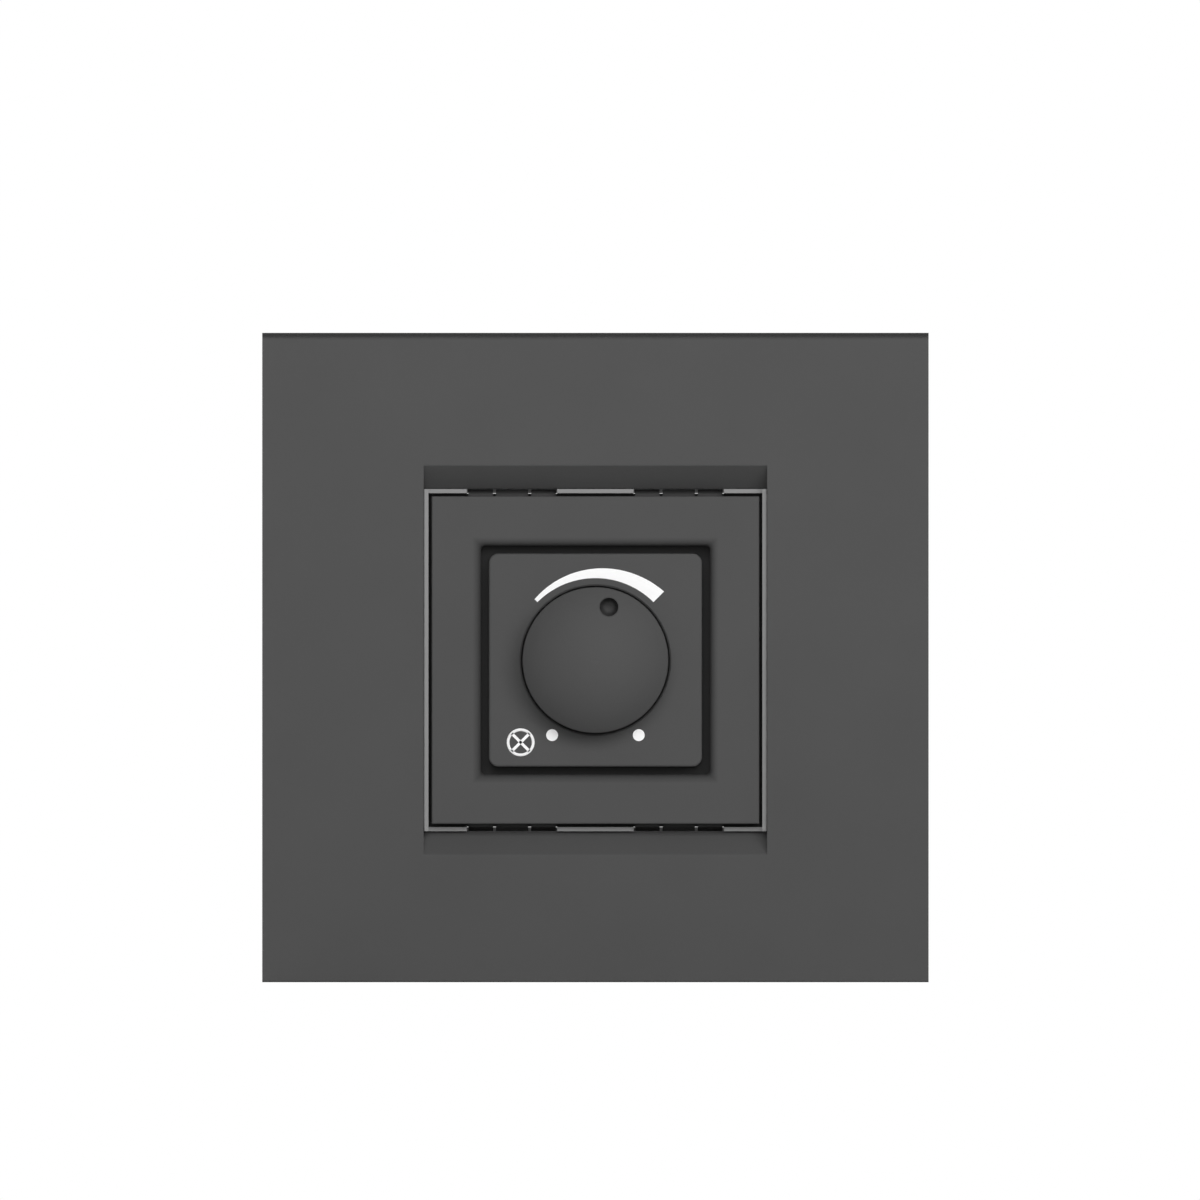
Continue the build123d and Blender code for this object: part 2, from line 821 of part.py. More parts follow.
# One screw presses the triac's tab to the heat sink
triac_tab_back = pot_face - triac_tab_thickness
with BuildPart() as triac_screw:
    with BuildSketch(facing(triac_tab_back - triac_screw_head)):
        with Locations((triac_right, triac_hole_up)):
            Circle(triac_screw_head_radius)
    extrude(amount=triac_screw_head)
    with BuildSketch(facing(triac_tab_back)):
        with Locations((triac_right, triac_hole_up)):
            Circle(triac_screw_radius)
    extrude(amount=sink_front - triac_tab_back)

# The circuit board rests on the housing's ledges and clears its posts
block_low = block_gap - housing_inner
block_high = block_low + block_length
tail_up = block_high - tail_thickness
wired_spans = [(centre, resistor_span) for centre in resistor_centres]
wired_spans.append((diac_centre, diac_span))
wire_places = [(right + side * span / 2, up) for (right, up), span in wired_spans for side in (-1, 1)]
with BuildPart() as circuit_board:
    with BuildSketch(facing(board_back)):
        Rectangle(2 * board_half, 2 * board_half)
        with GridLocations(2 * post_place, 2 * post_place, 2, 2):
            Circle(post_radius + board_notch, mode=Mode.SUBTRACT)
        with GridLocations(2 * board_half, 2 * board_half, 2, 2):
            Rectangle(2 * post_inset, 2 * post_inset, mode=Mode.SUBTRACT)
        with Locations((0, pin_up)):
            with GridLocations(pin_pitch, 0, 3, 1):
                Rectangle(pin_width + 2 * lead_play, pin_thickness + 2 * lead_play, mode=Mode.SUBTRACT)
        with Locations((triac_right, lead_low + lead_thickness / 2)):
            with GridLocations(lead_pitch, 0, 3, 1):
                Rectangle(lead_width + 2 * lead_play, lead_thickness + 2 * lead_play, mode=Mode.SUBTRACT)
        with Locations((0, tail_up)):
            with GridLocations(terminal_spacing, 0, 2, 1):
                Rectangle(tail_width + 2 * lead_play, tail_thickness + 2 * lead_play, mode=Mode.SUBTRACT)
        with Locations(*wire_places):
            Circle(wire_radius + lead_play, mode=Mode.SUBTRACT)
    extrude(amount=board_thickness)

# The choke is a ring of pressed iron powder with one layer of wire wound through it
core_front = board_back - choke_wire
core_back = core_front - choke_height
core_middle = (core_front + core_back) / 2
choke_right, choke_up = choke_centre
choke_ring_width = choke_outer - choke_inner
choke_ring_middle = (choke_outer + choke_inner) / 2
with BuildPart() as choke_core:
    with BuildSketch(facing(core_back)):
        with Locations(choke_centre):
            Circle(choke_outer)
            Circle(choke_inner, mode=Mode.SUBTRACT)
    extrude(amount=choke_height)

with BuildPart() as choke_winding:
    for turn in range(choke_turns):
        angle = math.radians(turn * choke_wound / (choke_turns - 1))
        outward = Vector(math.cos(angle), 0, math.sin(angle))
        middle = Vector(choke_right, -core_middle, choke_up) + outward * choke_ring_middle
        turn_plane = Plane(origin=middle, x_dir=outward, z_dir=outward.cross(Vector(0, -1, 0)))
        with BuildSketch(turn_plane):
            Rectangle(choke_ring_width + 2 * choke_wire, choke_height + 2 * choke_wire)
            Rectangle(choke_ring_width + 2 * choke_play, choke_height + 2 * choke_play, mode=Mode.SUBTRACT)
        extrude(amount=choke_wire / 2, both=True)
    with BuildSketch(level(choke_up)):
        with Locations((choke_right + choke_ring_middle, core_middle)):
            Rectangle(choke_ring_width + choke_wire, choke_height + choke_wire)
            Rectangle(choke_ring_width + 2 * choke_play, choke_height + 2 * choke_play, mode=Mode.SUBTRACT)
    revolve(axis=Axis((choke_right, 0, choke_up), (0, -1, 0)), revolution_arc=choke_wound)

# The filter capacitor and the smaller timing capacitor are moulded blocks
with BuildPart() as filter_capacitor:
    with BuildSketch(facing(board_back - filter_height)):
        with Locations(filter_centre):
            Rectangle(*filter_size)
    extrude(amount=filter_height)
    chamfer(filter_capacitor.faces().sort_by(Axis.Y)[-1].edges(), filter_bevel)

with BuildPart() as timing_capacitor:
    with BuildSketch(facing(board_back - timing_height)):
        with Locations(timing_centre):
            Rectangle(*timing_size)
    extrude(amount=timing_height)
    chamfer(timing_capacitor.faces().sort_by(Axis.Y)[-1].edges(), timing_bevel)

# Two resistors and a diac trigger the triac
with BuildPart() as resistors:
    for centre in resistor_centres:
        wired_part(centre, resistor_radius, resistor_length, resistor_span)

with BuildPart() as diac:
    wired_part(diac_centre, diac_radius, diac_length, diac_span)

# Each brass block takes a wire from below and a clamp screw from behind
block_back = rear_inner + block_pad
block_front = block_back + block_depth
bore_front = block_back + bore_depth
block_up = (block_low + block_high) / 2
with BuildPart() as terminal_blocks:
    with BuildSketch(facing(block_back)):
        with Locations((0, block_up)):
            with GridLocations(terminal_spacing, 0, 2, 1):
                Rectangle(block_width, block_length)
    extrude(amount=block_depth)
    with BuildSketch(level(block_high)):
        with Locations((0, bore_front)):
            with GridLocations(terminal_spacing, 0, 2, 1):
                Circle(bore_radius)
    extrude(amount=block_length, mode=Mode.SUBTRACT)
    with BuildSketch(facing(block_back)):
        with Locations((0, block_up)):
            with GridLocations(terminal_spacing, 0, 2, 1):
                Circle(clamp_screw_radius + thread_play)
    extrude(amount=bore_depth, mode=Mode.SUBTRACT)
    with BuildSketch(facing(block_front)):
        with Locations((0, tail_up)):
            with GridLocations(terminal_spacing, 0, 2, 1):
                Rectangle(tail_width, tail_thickness)
    extrude(amount=board_front + lead_tail - block_front)

# The clamp screws have slotted heads, sunk in the housing's rear face
clamp_head_back = rear_face + clamp_head_play
clamp_head_front = clamp_head_back + clamp_head
clamp_tip = bore_front - bore_radius - clamp_tip_gap
with BuildPart() as terminal_screws:
    with BuildSketch(facing(clamp_head_back)):
        with Locations((0, block_up)):
            with GridLocations(terminal_spacing, 0, 2, 1):
                Circle(clamp_head_radius)
    extrude(amount=clamp_head)
    with BuildSketch(facing(clamp_head_back)):
        with Locations((0, block_up)):
            with GridLocations(terminal_spacing, 0, 2, 1):
                Rectangle(2 * clamp_head_radius, clamp_slot_width)
    extrude(amount=clamp_slot_depth, mode=Mode.SUBTRACT)
    with BuildSketch(facing(clamp_head_front)):
        with Locations((0, block_up)):
            with GridLocations(terminal_spacing, 0, 2, 1):
                Circle(clamp_screw_radius)
    extrude(amount=clamp_tip - clamp_head_front)

# The housing is a deep box with posts, ledges and wire pockets inside and spring latches outside
finger_high = aperture_half - finger_clearance
finger_low = finger_high - finger_thickness
finger_crest = lip_half - finger_clearance
finger_back = catch_front - finger_length
finger_catch = catch_front + finger_clearance
wing_inner = (slit_spacing + finger_slit) / 2
wing_width = latch_width / 2 - wing_inner
wing_place = wing_inner + wing_width / 2
hook_width = slit_spacing - finger_slit
pocket_low = finger_low - finger_room
pocket_width = latch_width + 2 * latch_play
pocket_half = block_width / 2 + pocket_play
with BuildPart() as housing:
    with BuildSketch(facing(rear_face)):
        RectangleRounded(2 * housing_half, 2 * housing_half, housing_corner)
    extrude(amount=housing_front - rear_face)
    with BuildSketch(facing(seat_depth - rim_depth)):
        Rectangle(2 * rim_half, 2 * rim_half)
    extrude(amount=rim_depth)
    with BuildSketch(facing(finger_back - finger_root)):
        with GridLocations(module_pitch, 0, 2, 1):
            Rectangle(pocket_width, 2 * finger_high)
    extrude(amount=finger_root)
    with BuildSketch(facing(rear_inner)):
        Rectangle(2 * housing_inner, 2 * housing_inner)
    extrude(amount=housing_front - rear_inner, mode=Mode.SUBTRACT)
    with BuildSketch(facing(finger_back)):
        with GridLocations(module_pitch, rim_half + pocket_low, 2, 2):
            Rectangle(pocket_width, rim_half - pocket_low)
    extrude(amount=housing_front - finger_back, mode=Mode.SUBTRACT)
    fingers = (
        (-wing_place, wing_width, wing_reach),
        (0, hook_width, hook_reach),
        (wing_place, wing_width, wing_reach),
    )
    for latch_right in (-module_pitch / 2, module_pitch / 2):
        for finger_right, width, reach in fingers:
            with BuildSketch(section(latch_right + finger_right)):
                with BuildLine():
                    Polyline(
                        (finger_back, finger_low),
                        (finger_catch + reach, finger_low),
                        (finger_catch + reach, finger_high),
                        (finger_catch + catch_flat, finger_crest),
                        (finger_catch, finger_crest),
                        (finger_catch, finger_high),
                        (finger_back, finger_high),
                        close=True,
                    )
                make_face()
                mirror(about=Plane.XZ)
            extrude(amount=width / 2, both=True)
    with BuildSketch(section()):
        with Locations((tab_barb_front - tab_barb_depth / 2, 0)):
            Rectangle(tab_barb_depth + 2 * tab_play, tab_width + 2 * tab_play)
    extrude(amount=housing_half, both=True, mode=Mode.SUBTRACT)
    with BuildSketch(facing(rear_inner)):
        with GridLocations(2 * post_place, 2 * post_place, 2, 2):
            Circle(post_radius)
        Rectangle(2 * housing_inner, 2 * housing_inner, mode=Mode.INTERSECT)
    extrude(amount=pot_face - rear_inner)
    with BuildSketch(facing(pot_face - pilot_depth)):
        with GridLocations(2 * post_place, 2 * post_place, 2, 2):
            Circle(screw_radius + thread_play)
    extrude(amount=pilot_depth, mode=Mode.SUBTRACT)
    with BuildSketch(facing(rear_inner)):
        with GridLocations(2 * housing_inner - board_ledge, 0, 2, 1):
            Rectangle(board_ledge, board_ledge_width)
    extrude(amount=board_back - rear_inner)
    pocket_up = (block_high - housing_inner) / 2
    pocket_length = block_high + housing_inner
    with BuildSketch(facing(rear_inner)):
        with Locations((0, pocket_up)):
            with GridLocations(terminal_spacing, 0, 2, 1):
                Rectangle(2 * (pocket_half + pocket_wall), pocket_length)
    extrude(amount=pocket_depth)
    with BuildSketch(facing(block_back)):
        with Locations((0, pocket_up)):
            with GridLocations(terminal_spacing, 0, 2, 1):
                Rectangle(2 * pocket_half, pocket_length)
    extrude(amount=pocket_depth - block_pad, mode=Mode.SUBTRACT)
    with BuildSketch(facing(rear_face)):
        with Locations((0, block_up)):
            with GridLocations(terminal_spacing, 0, 2, 1):
                Circle(clamp_head_radius + clamp_head_play)
    extrude(amount=block_back - rear_face, mode=Mode.SUBTRACT)
    with BuildSketch(level(-housing_inner)):
        with Locations((0, bore_front)):
            with GridLocations(terminal_spacing, 0, 2, 1):
                Circle(entry_radius)
    extrude(amount=housing_wall, mode=Mode.SUBTRACT)
    with BuildSketch(facing(rear_face)):
        with Locations((0, vent_rise)):
            with GridLocations(0, vent_pitch, 1, vent_count):
                Rectangle(vent_length, vent_width)
    extrude(amount=housing_wall, mode=Mode.SUBTRACT)

pieces = {
    "cover_plate": cover_plate,
    "support_frame": support_frame,
    "front_frame": front_frame,
    "scale_plate": scale_plate,
    "knob": knob,
    "knob_spring": knob_spring,
    "pot_shaft": pot_shaft,
    "shaft_ring": shaft_ring,
    "pot_rotor": pot_rotor,
    "pot_wiper": pot_wiper,
    "pot_bushing": pot_bushing,
    "pot_case": pot_case,
    "pot_wafer": pot_wafer,
    "pot_terminals": pot_terminals,
    "pot_washer": pot_washer,
    "pot_nut": pot_nut,
    "heat_sink": heat_sink,
    "chassis_screws": chassis_screws,
    "triac": triac,
    "triac_screw": triac_screw,
    "circuit_board": circuit_board,
    "choke_core": choke_core,
    "choke_winding": choke_winding,
    "filter_capacitor": filter_capacitor,
    "timing_capacitor": timing_capacitor,
    "resistors": resistors,
    "diac": diac,
    "terminal_blocks": terminal_blocks,
    "terminal_screws": terminal_screws,
    "housing": housing,
}

os.makedirs("parts", exist_ok=True)
for name, piece in pieces.items():
    piece.part.label = name
    export_step(piece.part, f"parts/{name}.step")
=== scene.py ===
# %% [markdown]
# # Dressing a rotary dimmer
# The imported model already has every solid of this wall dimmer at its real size: the cover plate, the
# frame behind it, the module with its knob, and the works inside. What it lacks is the look of the real
# thing. This lesson gives each solid the material it is made of, prints the brightness scale, winds the
# choke, cuts threads on the screws, and lights it all as a plain studio would.

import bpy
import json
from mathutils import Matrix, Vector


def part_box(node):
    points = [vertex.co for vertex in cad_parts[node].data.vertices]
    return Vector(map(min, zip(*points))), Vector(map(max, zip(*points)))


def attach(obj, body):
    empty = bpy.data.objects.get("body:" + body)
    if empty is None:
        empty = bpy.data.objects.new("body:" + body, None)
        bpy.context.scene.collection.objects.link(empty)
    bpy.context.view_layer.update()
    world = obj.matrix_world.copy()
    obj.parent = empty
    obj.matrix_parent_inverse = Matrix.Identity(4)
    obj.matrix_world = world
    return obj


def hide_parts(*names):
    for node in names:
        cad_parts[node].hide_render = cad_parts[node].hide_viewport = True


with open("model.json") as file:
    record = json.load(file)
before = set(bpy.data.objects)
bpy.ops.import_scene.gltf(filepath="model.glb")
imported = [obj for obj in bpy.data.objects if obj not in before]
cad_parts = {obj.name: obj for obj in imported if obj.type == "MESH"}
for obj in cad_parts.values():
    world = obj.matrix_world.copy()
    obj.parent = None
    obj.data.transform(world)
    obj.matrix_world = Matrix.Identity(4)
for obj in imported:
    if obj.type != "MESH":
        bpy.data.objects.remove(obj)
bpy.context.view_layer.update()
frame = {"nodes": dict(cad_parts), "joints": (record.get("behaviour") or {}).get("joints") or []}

# %% [markdown]
# The frame is in metres and the drawings of such a switch are in millimetres, so one value turns one into
# the other. Places are read from the solids wherever that is possible: the scale plate's face, for
# example, is the lowest y of its box, because the front of the switch looks along -Y. Then a later change
# of the CAD model carries the print with it.

# %% Sizes read from the solids
import json
import math

import bpy
from mathutils import Vector

MM = 0.001
scale_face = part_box("scale_plate")[0].y
knob_turn = frame["joints"][0]
print("scale face at y", round(scale_face / MM, 2), "mm, the knob turns from", knob_turn["range_deg"])

# %% [markdown]
# Colours are written as the sRGB hex codes of a paint card. Blender's shaders want linear light, so one
# function turns one into the other. A second one fills the sockets of a node: a value is written into a
# socket, and another node or one of its outputs is linked to it. A third, small one adds a node to a tree,
# sets its properties and fills its sockets. Shader trees and geometry trees both use them.

# %% Helpers for colours, nodes and materials
def linear(hex_code):
    """An sRGB hex colour as linear red, green, blue and alpha."""
    parts = [int(hex_code[i : i + 2], 16) / 255 for i in (1, 3, 5)]
    return [p / 12.92 if p <= 0.04045 else ((p + 0.055) / 1.055) ** 2.4 for p in parts] + [1.0]


def fill_sockets(tree, node, sockets):
    """Fills sockets, by name or number: values are written, outputs and nodes' first outputs linked."""
    for key, value in sockets.items():
        if isinstance(value, bpy.types.Node):
            value = value.outputs[0]
        if isinstance(value, bpy.types.NodeSocket):
            tree.links.new(value, node.inputs[key])
        else:
            node.inputs[key].default_value = value


def add_node(tree, kind, sockets=None, **settings):
    """Adds a node with these properties and fills these sockets."""
    node = tree.nodes.new(kind)
    for name, value in settings.items():
        setattr(node, name, value)
    fill_sockets(tree, node, sockets or {})
    return node


def start_material(name):
    """A new material: itself, its node tree, its shader and the piece's own coordinates."""
    material = bpy.data.materials.new(name)
    material.use_nodes = True
    tree = material.node_tree
    place = add_node(tree, "ShaderNodeTexCoord").outputs["Object"]
    return material, tree, tree.nodes["Principled BSDF"], place


def dress(material, *nodes):
    """Gives these CAD nodes a material."""
    for node in nodes:
        frame["nodes"][node].material_slots[0].material = material
    print(material.name, "on", ", ".join(nodes))


# %% [markdown]
# Plate, module front, scale plate and knob are injection-moulded ABS, dyed dark grey in the mass. The
# steel mould was spark-eroded, which leaves a fine even grain, so the surface looks matt and shows no
# sharp reflections. One function makes every moulded plastic here, because they differ only in colour,
# grain and gloss. The real grain is about 0.1 mm and would vanish between the render's pixels, so it is
# drawn at 0.4 mm and kept very shallow.

# %% Moulded plastics
flow_cloud, pit_depth, pit_gloss, plastic_ior = 14 * MM, 0.02 * MM, 0.06, 1.53
noise_range = {"From Min": 0.3, "From Max": 0.7}


def moulded_plastic(name, pale, deep, grain, roughness, specular):
    """Plastic from a spark-eroded mould: fine shallow pits, and faint clouds where the melt flowed."""
    material, tree, shader, place = start_material(name)
    cloud = add_node(tree, "ShaderNodeTexNoise", {"Vector": place, "Scale": 1 / flow_cloud, "Detail": 2.0})
    mix = {0: cloud, 6: linear(deep), 7: linear(pale)}
    tint = add_node(tree, "ShaderNodeMix", mix, data_type="RGBA")
    pits = add_node(tree, "ShaderNodeTexNoise", {"Vector": place, "Scale": 1 / grain, "Detail": 3.0})
    dents = add_node(tree, "ShaderNodeBump", {"Height": pits, "Strength": 0.25, "Distance": pit_depth})
    swing = {"To Min": roughness - pit_gloss, "To Max": roughness + pit_gloss}
    gloss = add_node(tree, "ShaderNodeMapRange", {"Value": pits, **noise_range, **swing})
    look = {"Base Color": tint.outputs[2], "Roughness": gloss, "Normal": dents}
    fill_sockets(tree, shader, {**look, "IOR": plastic_ior, "Specular IOR Level": specular})
    return material


dark_grey, light_grey = ("#555555", "#515151"), ("#979797", "#919191")
abs_finish = {"grain": 0.4 * MM, "roughness": 0.85, "specular": 0.06}
dark_abs = moulded_plastic("dark_abs_spark_eroded", *dark_grey, **abs_finish)
grey_abs = moulded_plastic("light_grey_abs_spark_eroded", *light_grey, **abs_finish)
dress(dark_abs, "scale_plate")
dress(grey_abs, "support_frame")

# %% [markdown]
# In the photograph the groove round the scale plate is dark on all four sides, and so are the wall of the
# knob's dimple and the plate's rolled top edge. No lamp from one side does that: it is the soft shade of
# light from all around, which a few lamps can't give. So that shade is painted into the colour of these
# three pieces, which gets darker towards such a place. One function makes the dark plastic once more for
# such a piece. Another multiplies its colour by a share that falls with a distance, which paints the shade,
# and each piece says which distance it means.

# %% Painted shade in the plastic
def start_shaded(name):
    """The dark plastic once more: itself, its node tree and the piece's own coordinates."""
    material = moulded_plastic(name, *dark_grey, **abs_finish)
    tree = material.node_tree
    return material, tree, tree.nodes["Texture Coordinate"].outputs["Object"]


def shade(material, distance, near, far, least):
    """Paints shade: darkens a plastic to its least share under the near distance, and not at all past far.
    """
    tree = material.node_tree
    colour = tree.nodes["Principled BSDF"].inputs["Base Color"]
    span = {"From Min": near, "From Max": far, "To Min": least, "To Max": 1.0}
    share = add_node(tree, "ShaderNodeMapRange", {"Value": distance, **span})
    # The colour is multiplied by the share: this is the painted shade.
    mix = {0: 1.0, 6: colour.links[0].from_socket, 7: share}
    darker = add_node(tree, "ShaderNodeMix", mix, data_type="RGBA", blend_type="MULTIPLY")
    tree.links.new(darker.outputs[2], colour)
    print(material.name, "is darker up to", round(far / MM, 2), "mm")


# %% [markdown]
# The groove is square, so the distance that counts is the larger of the two ways from the knob's axis,
# sideways or up. Everything inside the window's rounded edge gets painted shade.

# %% Groove in the module's front
groove_abs, tree, place = start_shaded("dark_abs_with_painted_groove_shade")
away = add_node(tree, "ShaderNodeVectorMath", {0: place}, operation="ABSOLUTE")
away = add_node(tree, "ShaderNodeSeparateXYZ", {0: away})
square = add_node(tree, "ShaderNodeMath", {0: away.outputs["X"], 1: away.outputs["Z"]}, operation="MAXIMUM")
# Painted shade: the colour darkens from the window's edge into the groove.
shade(groove_abs, square, near=15.4 * MM, far=16.6 * MM, least=0.45)
dress(groove_abs, "front_frame")

# %% [markdown]
# The dimple is the knob's pointer. It lies as far to the right of the top as the middle of the joint's
# range lies to the left. Its wall gets painted shade and its bottom keeps its plain colour, so the distance
# is measured from a ring inside its rim. Depth along y doesn't count, so it is multiplied by zero.

# %% Dimple in the knob
dimple_reach, dark_ring, without_depth = 7.4 * MM, 1.0 * MM, (1, 0, 1)
rest_turn = -math.radians(sum(knob_turn["range_deg"]) / 2)
dimple_spot = (dimple_reach * math.sin(rest_turn), 0, dimple_reach * math.cos(rest_turn))
dimple_abs, tree, place = start_shaded("dark_abs_with_painted_dimple_shade")
flat = add_node(tree, "ShaderNodeVectorMath", {0: place, 1: without_depth}, operation="MULTIPLY")
reach = add_node(tree, "ShaderNodeVectorMath", {0: flat, 1: dimple_spot}, operation="DISTANCE")
off_ring = add_node(tree, "ShaderNodeMath", {0: reach.outputs["Value"], 1: dark_ring}, operation="SUBTRACT")
off_ring = add_node(tree, "ShaderNodeMath", {0: off_ring}, operation="ABSOLUTE")
# Painted shade: the colour darkens on a ring at the dimple's wall.
shade(dimple_abs, off_ring, near=0.1 * MM, far=0.45 * MM, least=0.6)
dress(dimple_abs, "knob")

# %% [markdown]
# The top edge of the plate is rolled back towards the wall over 3 mm. The distance is the drop from the
# plate's top on the roll and the way back from its end on the flat behind it, so that the painted shade
# darkens only the edge.

# %% Top edge of the plate
plate_low, plate_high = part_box("cover_plate")
roll_depth = 3.0 * MM
roll_end = plate_low.y + roll_depth
edge_abs, tree, place = start_shaded("dark_abs_with_painted_top_edge_shade")
spot = add_node(tree, "ShaderNodeSeparateXYZ", {0: place})
drop = add_node(tree, "ShaderNodeMath", {0: plate_high.z, 1: spot.outputs["Z"]}, operation="SUBTRACT")
behind = add_node(tree, "ShaderNodeMath", {0: spot.outputs["Y"], 1: roll_end}, operation="SUBTRACT")
from_edge = add_node(tree, "ShaderNodeMath", {0: drop, 1: behind}, operation="MAXIMUM")
# Painted shade: the colour darkens along the rolled top edge.
shade(edge_abs, from_edge, near=0.0, far=1.0 * MM, least=0.38)
dress(edge_abs, "cover_plate")

# %% [markdown]
# The housing gets warm from the triac and holds live parts, so it is glass-filled nylon: black, a little
# glossier, and coarser in its grain because short glass fibres lie in its surface. The potentiometer's
# rotor is natural acetal, which slides well and is slightly yellow and waxy because no dye hides the
# plastic itself.

# %% Nylon and acetal
nylon_finish = {"grain": 0.6 * MM, "roughness": 0.7, "specular": 0.1}
acetal_finish = {"grain": 0.5 * MM, "roughness": 0.4, "specular": 0.4}
black_nylon = moulded_plastic("black_glass_filled_nylon", "#424242", "#3a3a3a", **nylon_finish)
white_acetal = moulded_plastic("natural_acetal_moulded", "#ebe8dd", "#e0dccd", **acetal_finish)
dress(black_nylon, "housing")
dress(white_acetal, "pot_rotor")

# %% [markdown]
# Metal parts are told apart by the marks of their making. Rolled sheet has fine lines along one direction,
# turned parts have rings around their axis, and a plated part has soft blotches. All three are noise that
# is stretched differently, so one function takes the spacing of the marks along x, y and z. A turned part
# lies along y, so marks that change fast along y alone are rings. Real tool marks are finer than 0.3 mm
# and could not be seen, so they are drawn at that spacing.

# %% Metals
mark_gloss = 0.07


def worked_metal(name, bright, dull, roughness, spacing, depth):
    """Bare or plated metal, with marks of this spacing along x, y and z and of this depth."""
    material, tree, shader, place = start_material(name)
    along = add_node(tree, "ShaderNodeMapping", {"Vector": place, "Scale": [1 / step for step in spacing]})
    marks = add_node(tree, "ShaderNodeTexNoise", {"Vector": along, "Scale": 1.0, "Detail": 3.0})
    mix = {0: marks, 6: linear(dull), 7: linear(bright)}
    tint = add_node(tree, "ShaderNodeMix", mix, data_type="RGBA")
    swing = {"To Min": roughness - mark_gloss, "To Max": roughness + mark_gloss}
    gloss = add_node(tree, "ShaderNodeMapRange", {"Value": marks, **noise_range, **swing})
    lines = add_node(tree, "ShaderNodeBump", {"Height": marks, "Strength": 0.4, "Distance": depth})
    look = {"Base Color": tint.outputs[2], "Roughness": gloss, "Normal": lines, "Metallic": 1.0}
    fill_sockets(tree, shader, look)
    return material


blotches, rings = (2.5 * MM, 2.5 * MM, 2.5 * MM), (40 * MM, 0.3 * MM, 40 * MM)
sheet_lines = (9 * MM, 0.3 * MM, 0.3 * MM)
plated = {"roughness": 0.34, "spacing": blotches, "depth": 0.01 * MM}
turned_finish = {"roughness": 0.3, "spacing": rings, "depth": 0.01 * MM}
rolled = {"roughness": 0.36, "spacing": sheet_lines, "depth": 0.01 * MM}
nickelled = {"roughness": 0.26, "spacing": rings, "depth": 0.005 * MM}
zinc_steel = worked_metal("zinc_plated_steel", "#c3c6cb", "#aeb2b8", **plated)
turned_aluminium = worked_metal("turned_aluminium", "#dcdddf", "#c6c7ca", **turned_finish)
sheet_aluminium = worked_metal("rolled_aluminium_sheet", "#d8d9db", "#c2c4c7", **rolled)
nickel_brass = worked_metal("nickel_plated_brass", "#d3cdbf", "#c0b9a9", **nickelled)
dress(zinc_steel, "knob_spring", "shaft_ring", "pot_case", "pot_washer", "terminal_screws")
dress(turned_aluminium, "pot_shaft")
dress(sheet_aluminium, "heat_sink")
dress(nickel_brass, "pot_bushing", "pot_terminals", "pot_nut")

# %% [markdown]
# The wire clamps are sawn from drawn brass bar, so their lines run along the bar, and the wiper is stamped
# from thin spring brass, which is a little redder and smoother.

# %% Brass
drawn_finish = {"roughness": 0.33, "spacing": (6 * MM, 0.35 * MM, 6 * MM), "depth": 0.01 * MM}
strip_finish = {"roughness": 0.28, "spacing": (0.3 * MM, 5 * MM, 5 * MM), "depth": 0.005 * MM}
drawn_brass = worked_metal("drawn_brass_bar", "#cda95f", "#b58f48", **drawn_finish)
spring_brass = worked_metal("rolled_spring_brass", "#d2a35a", "#bd8c47", **strip_finish)
dress(drawn_brass, "terminal_blocks")
dress(spring_brass, "pot_wiper")

# %% [markdown]
# The small parts of the circuit have coats that show their kind: a filter capacitor in a yellow moulded
# box, a timing capacitor dipped in red lacquer, and a choke core painted yellow over pressed iron powder.
# They are smoother than the housing, so they use the same plastic with a grain of their own and more gloss.

# %% Capacitors and choke core
case_finish = {"grain": 0.4 * MM, "roughness": 0.35, "specular": 0.4}
lacquer_finish = {"grain": 0.8 * MM, "roughness": 0.24, "specular": 0.5}
paint_finish = {"grain": 0.3 * MM, "roughness": 0.6, "specular": 0.25}
yellow_case = moulded_plastic("yellow_capacitor_case_moulded", "#d8a92c", "#cc9b20", **case_finish)
red_lacquer = moulded_plastic("red_dipped_lacquer", "#92281d", "#831f16", **lacquer_finish)
iron_powder = moulded_plastic("painted_iron_powder_core", "#b3953a", "#94782a", **paint_finish)
dress(yellow_case, "filter_capacitor")
dress(red_lacquer, "timing_capacitor")
dress(iron_powder, "choke_core")

# %% [markdown]
# The potentiometer's wafer is brown phenolic paper laminate with a ring of black carbon printed on it, on
# which the wiper slides. The ring is a rule of distance: a point is on the track when its distance from
# the knob's axis lies near the track's radius. The paper's fibres show as short streaks.

# %% Wafer with its carbon track
track_radius, track_half = 4.9 * MM, 0.75 * MM
fibre_spacing = (3 * MM, 1 * MM, 0.4 * MM)
wafer_laminate, tree, shader, place = start_material("phenolic_paper_with_carbon_track")
flat = add_node(tree, "ShaderNodeVectorMath", {0: place, 1: without_depth}, operation="MULTIPLY")
reach = add_node(tree, "ShaderNodeVectorMath", {0: flat}, operation="LENGTH")
near = {0: reach.outputs["Value"], 1: track_radius, 2: track_half}
track = add_node(tree, "ShaderNodeMath", near, operation="COMPARE")
stretch = {"Vector": place, "Scale": [1 / step for step in fibre_spacing]}
streak = add_node(tree, "ShaderNodeMapping", stretch)
fibre = add_node(tree, "ShaderNodeTexNoise", {"Vector": streak, "Scale": 1.0, "Detail": 4.0})
mix = {0: fibre, 6: linear("#5b3a22"), 7: linear("#7a5230")}
paper = add_node(tree, "ShaderNodeMix", mix, data_type="RGBA")
mix = {0: track, 6: paper.outputs[2], 7: linear("#161616")}
tint = add_node(tree, "ShaderNodeMix", mix, data_type="RGBA")
fill_sockets(tree, shader, {"Base Color": tint.outputs[2], "Roughness": 0.45})
dress(wafer_laminate, "pot_wafer")

# %% [markdown]
# The circuit board is glass cloth in epoxy under a green solder mask. Copper tracks lie under the mask and
# show as paler green lines on a raster of 2.54 mm. A picture of them could be painted, but a rule does it
# too: the board is split into long flat cells and long upright ones, a random number for each cell says
# whether a track runs along its middle, and the two sets are laid over each other. The weave is drawn at
# 0.5 mm, coarser than real cloth, so that it can be seen at all.

